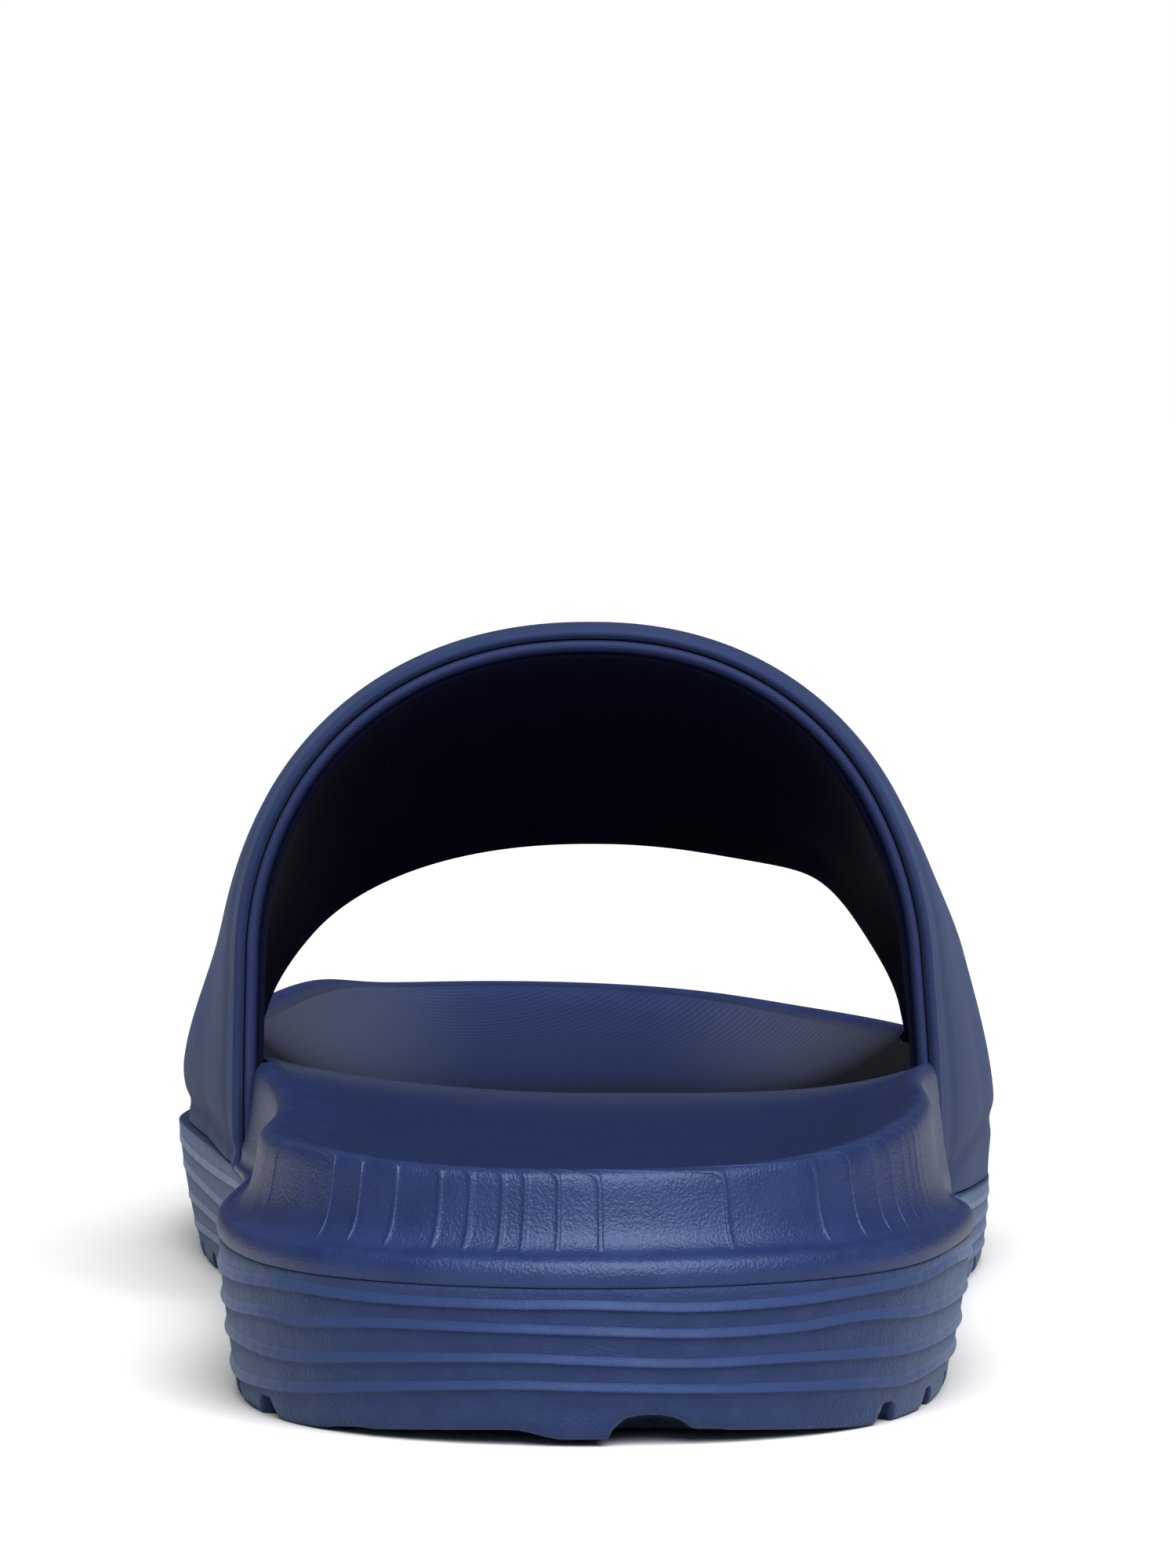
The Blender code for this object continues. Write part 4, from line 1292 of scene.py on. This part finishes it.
    def raise_lines(self, columns: Columns, grid: Array) -> Array:
        """Raise the contour lines of the rear flange as flat ridges along the surface's normals."""
        count, rate = self.contour(columns, grid)
        away = np.abs(count - np.round(count)) / np.maximum(rate, 1.0)
        ahead = np.roll(grid, -1, axis=1) - np.roll(grid, 1, axis=1)
        normal = np.cross(ahead, np.gradient(grid, axis=0))
        normal /= np.linalg.norm(normal, axis=-1)[..., None] + 1e-12
        outward = np.sign((normal[..., :2] * columns.normals).sum(axis=-1).mean())
        rows = np.linspace(0.0, self.edge_profile[-1][0], len(grid))[:, None]
        inside = window(rows, self.ridge_opens, self.ridge_closes)
        apart = ramp(1.0 / np.maximum(rate, 1.0), self.ridge_pitch)
        near = ramp(np.abs(columns.arcs), self.ridge_end)
        ridge = 1.0 - ramp(away / self.ridge_reach, self.ridge_flank)
        return grid + outward * normal * (self.ridge_height * ridge * inside * apart * near)[..., None]

    def build(self) -> bpy.types.Object:
        """Build the moulding as one closed mesh, dress it and give it back."""
        form = self.form
        columns = form.columns(self.fine, self.coarse, self.fine_reach)
        inner = columns.half()
        surface = Surface()
        edge = self.edge_grid(columns)
        bed = self.bed_grid(inner, edge[-1, ::2])
        count, rate = self.contour(columns, edge)
        rings = np.hypot(bed[..., 0] - self.ring_centre[0], bed[..., 1] - self.ring_centre[1])
        edge_made = self.cut_seat(self.raise_lines(columns, edge), columns, edge[-1])
        bed_made = self.cut_seat(bed, inner, edge[-1, ::2])
        core_index = surface.add(form.place(form.core(inner, 2.0 * self.base_gap)))
        surface.rings(core_index)

        rows = np.linspace(0.0, self.edge_profile[-1][0], len(edge))[:, None]
        values = {
            "contour": count,
            "line_width": np.clip(self.line_reach * rate, *self.line_width),
            "line_strength": window(rows, self.line_opens, self.line_closes),
            # the rim takes part of the bed's painted shade and matte finish
            "bed": self.rim_bed * ramp(rows, self.rim_opens),
        }
        edge_index = surface.add(form.place(edge_made), values)
        surface.halve(edge_index[0], core_index[-1], grows=True)
        surface.rings(edge_index)
        share = np.linspace(1.0, 0.0, len(bed) + 1)[1:, None]
        # painted reflection: grey laid on the bed towards its front and sides, and in a band across the
        # crest
        along = bed[..., 1] / form.length
        front = ramp(along, self.reflection_front)
        aside = np.abs(bed[..., 0] - inner.spine[:, 0]) / (form.ball_width / 2)
        painted_reflection = front * ramp(aside, self.reflection_side)
        place, reach, most = self.reflection_across
        weak, more, run = self.ring_strength
        values = {
            "contour": rings / self.ring_pitch,
            "line_width": self.line_width[1],
            "line_strength": (weak + more * front) * ease((1.0 - share) / run),
            "painted_reflection": np.clip(painted_reflection + most * bell(along - place, reach), 0.0, 1.0),
            # bed mask: painted shade in the colour, and the bed's own matte roughness
            "bed": self.rim_bed + (1.0 - self.rim_bed) * ease((1.0 - share) / self.bed_run),
        }
        bed_index = surface.add(form.place(bed_made), values)
        surface.halve(edge_index[-1], bed_index[0])
        surface.rings(bed_index)
        thing = surface.mesh("footbed_moulding", self.sharp)
        thing.data.materials.append(self.finish.material())
        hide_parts("footbed")
        return thing


@dataclass
class Studio:
    """White floor and backdrop, one very large soft light above, and dim light all round."""

    floor_reach: float = 60.0
    floor_cell: float = 0.1
    floor_marks: int = 8
    surround: float = 0.10
    backdrop: float = 1.0
    light_watts: float = 4.3
    light_spread: float = 60.0
    light_tilt: Pair = (39.0, 13.0)

    def build(self) -> None:
        """Make floor, surround and light."""
        self.build_floor()
        self.build_surround()
        lamp = bpy.data.lights.new("soft_light", "SUN")
        lamp.energy = self.light_watts
        lamp.angle = math.radians(self.light_spread)
        tilt, turn = self.light_tilt
        thing = add_to_scene("soft_light", lamp)
        thing.rotation_euler = (math.radians(tilt), 0.0, math.radians(turn))

    def build_floor(self) -> None:
        """Make the floor: a square of white paper, finer in the middle."""
        marks = np.concatenate((np.geomspace(self.floor_reach, self.floor_cell, self.floor_marks), [0.0]))
        marks = np.concatenate((-marks, marks[-2::-1]))
        x, y = np.meshgrid(marks, marks)
        surface = Surface()
        index = surface.add(np.stack((x, y, 0.0 * x), axis=-1))
        corners = (index[:-1, :-1], index[:-1, 1:], index[1:, 1:], index[1:, :-1])
        surface.quads.append(np.stack(corners, axis=-1).reshape(-1, 4))
        floor = surface.mesh("floor", 60.0)
        floor.data.materials.append(FloorFinish().material())

    def build_surround(self) -> None:
        """Make the world: a white backdrop that gives only a dim light."""
        world = bpy.data.worlds.new("surround")
        world.use_nodes = True
        nodes = world.node_tree.nodes
        seen = nodes.new("ShaderNodeLightPath").outputs["Is Camera Ray"]
        level = nodes.new("ShaderNodeMapRange")
        world.node_tree.links.new(seen, level.inputs["Value"])
        level.inputs["To Min"].default_value = self.surround
        level.inputs["To Max"].default_value = self.backdrop
        background = nodes["Background"]
        background.inputs["Color"].default_value = (1.0, 1.0, 1.0, 1.0)
        world.node_tree.links.new(level.outputs["Result"], background.inputs["Strength"])
        bpy.context.scene.world = world


@dataclass
class View:
    """Camera behind the heel, a little above the strap's height, looking slightly down."""

    form: SoleForm
    place: tuple[float, float, float] = (0.00068854, -0.79235, 0.11462)
    pitch: float = 2.963
    yaw: float = -0.0624
    lens: float = 166.16
    sensor: float = 36.0

    def build(self) -> None:
        """Make the camera and give it to the scene."""
        camera = bpy.data.cameras.new("camera")
        camera.lens = self.lens
        camera.sensor_width = self.sensor
        camera.clip_start, camera.clip_end = 0.01, 100.0
        thing = add_to_scene("camera", camera)
        thing.location = self.form.place(np.array(self.place))
        thing.rotation_euler = (math.radians(90.0 - self.pitch), 0.0, math.radians(-self.yaw))
        bpy.context.scene.camera = thing
        bpy.context.scene.view_settings.view_transform = "Standard"


def main() -> None:
    """Load the frame, build camera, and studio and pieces."""
    logging.basicConfig(level=logging.INFO, format="%(name)s: %(message)s")
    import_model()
    Studio().build()
    form = SoleForm()
    strap = Strap(form)
    strap.centre()
    View(form).build()
    makers = (Midsole(form).build, Footbed(form, strap).build, strap.build_skin, strap.build_lining)
    for make in makers:
        piece = make()
        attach(piece, BODY)
        LOG.info("%s: %d faces", piece.name, len(piece.data.polygons))


if __name__ == "__main__":
    main()
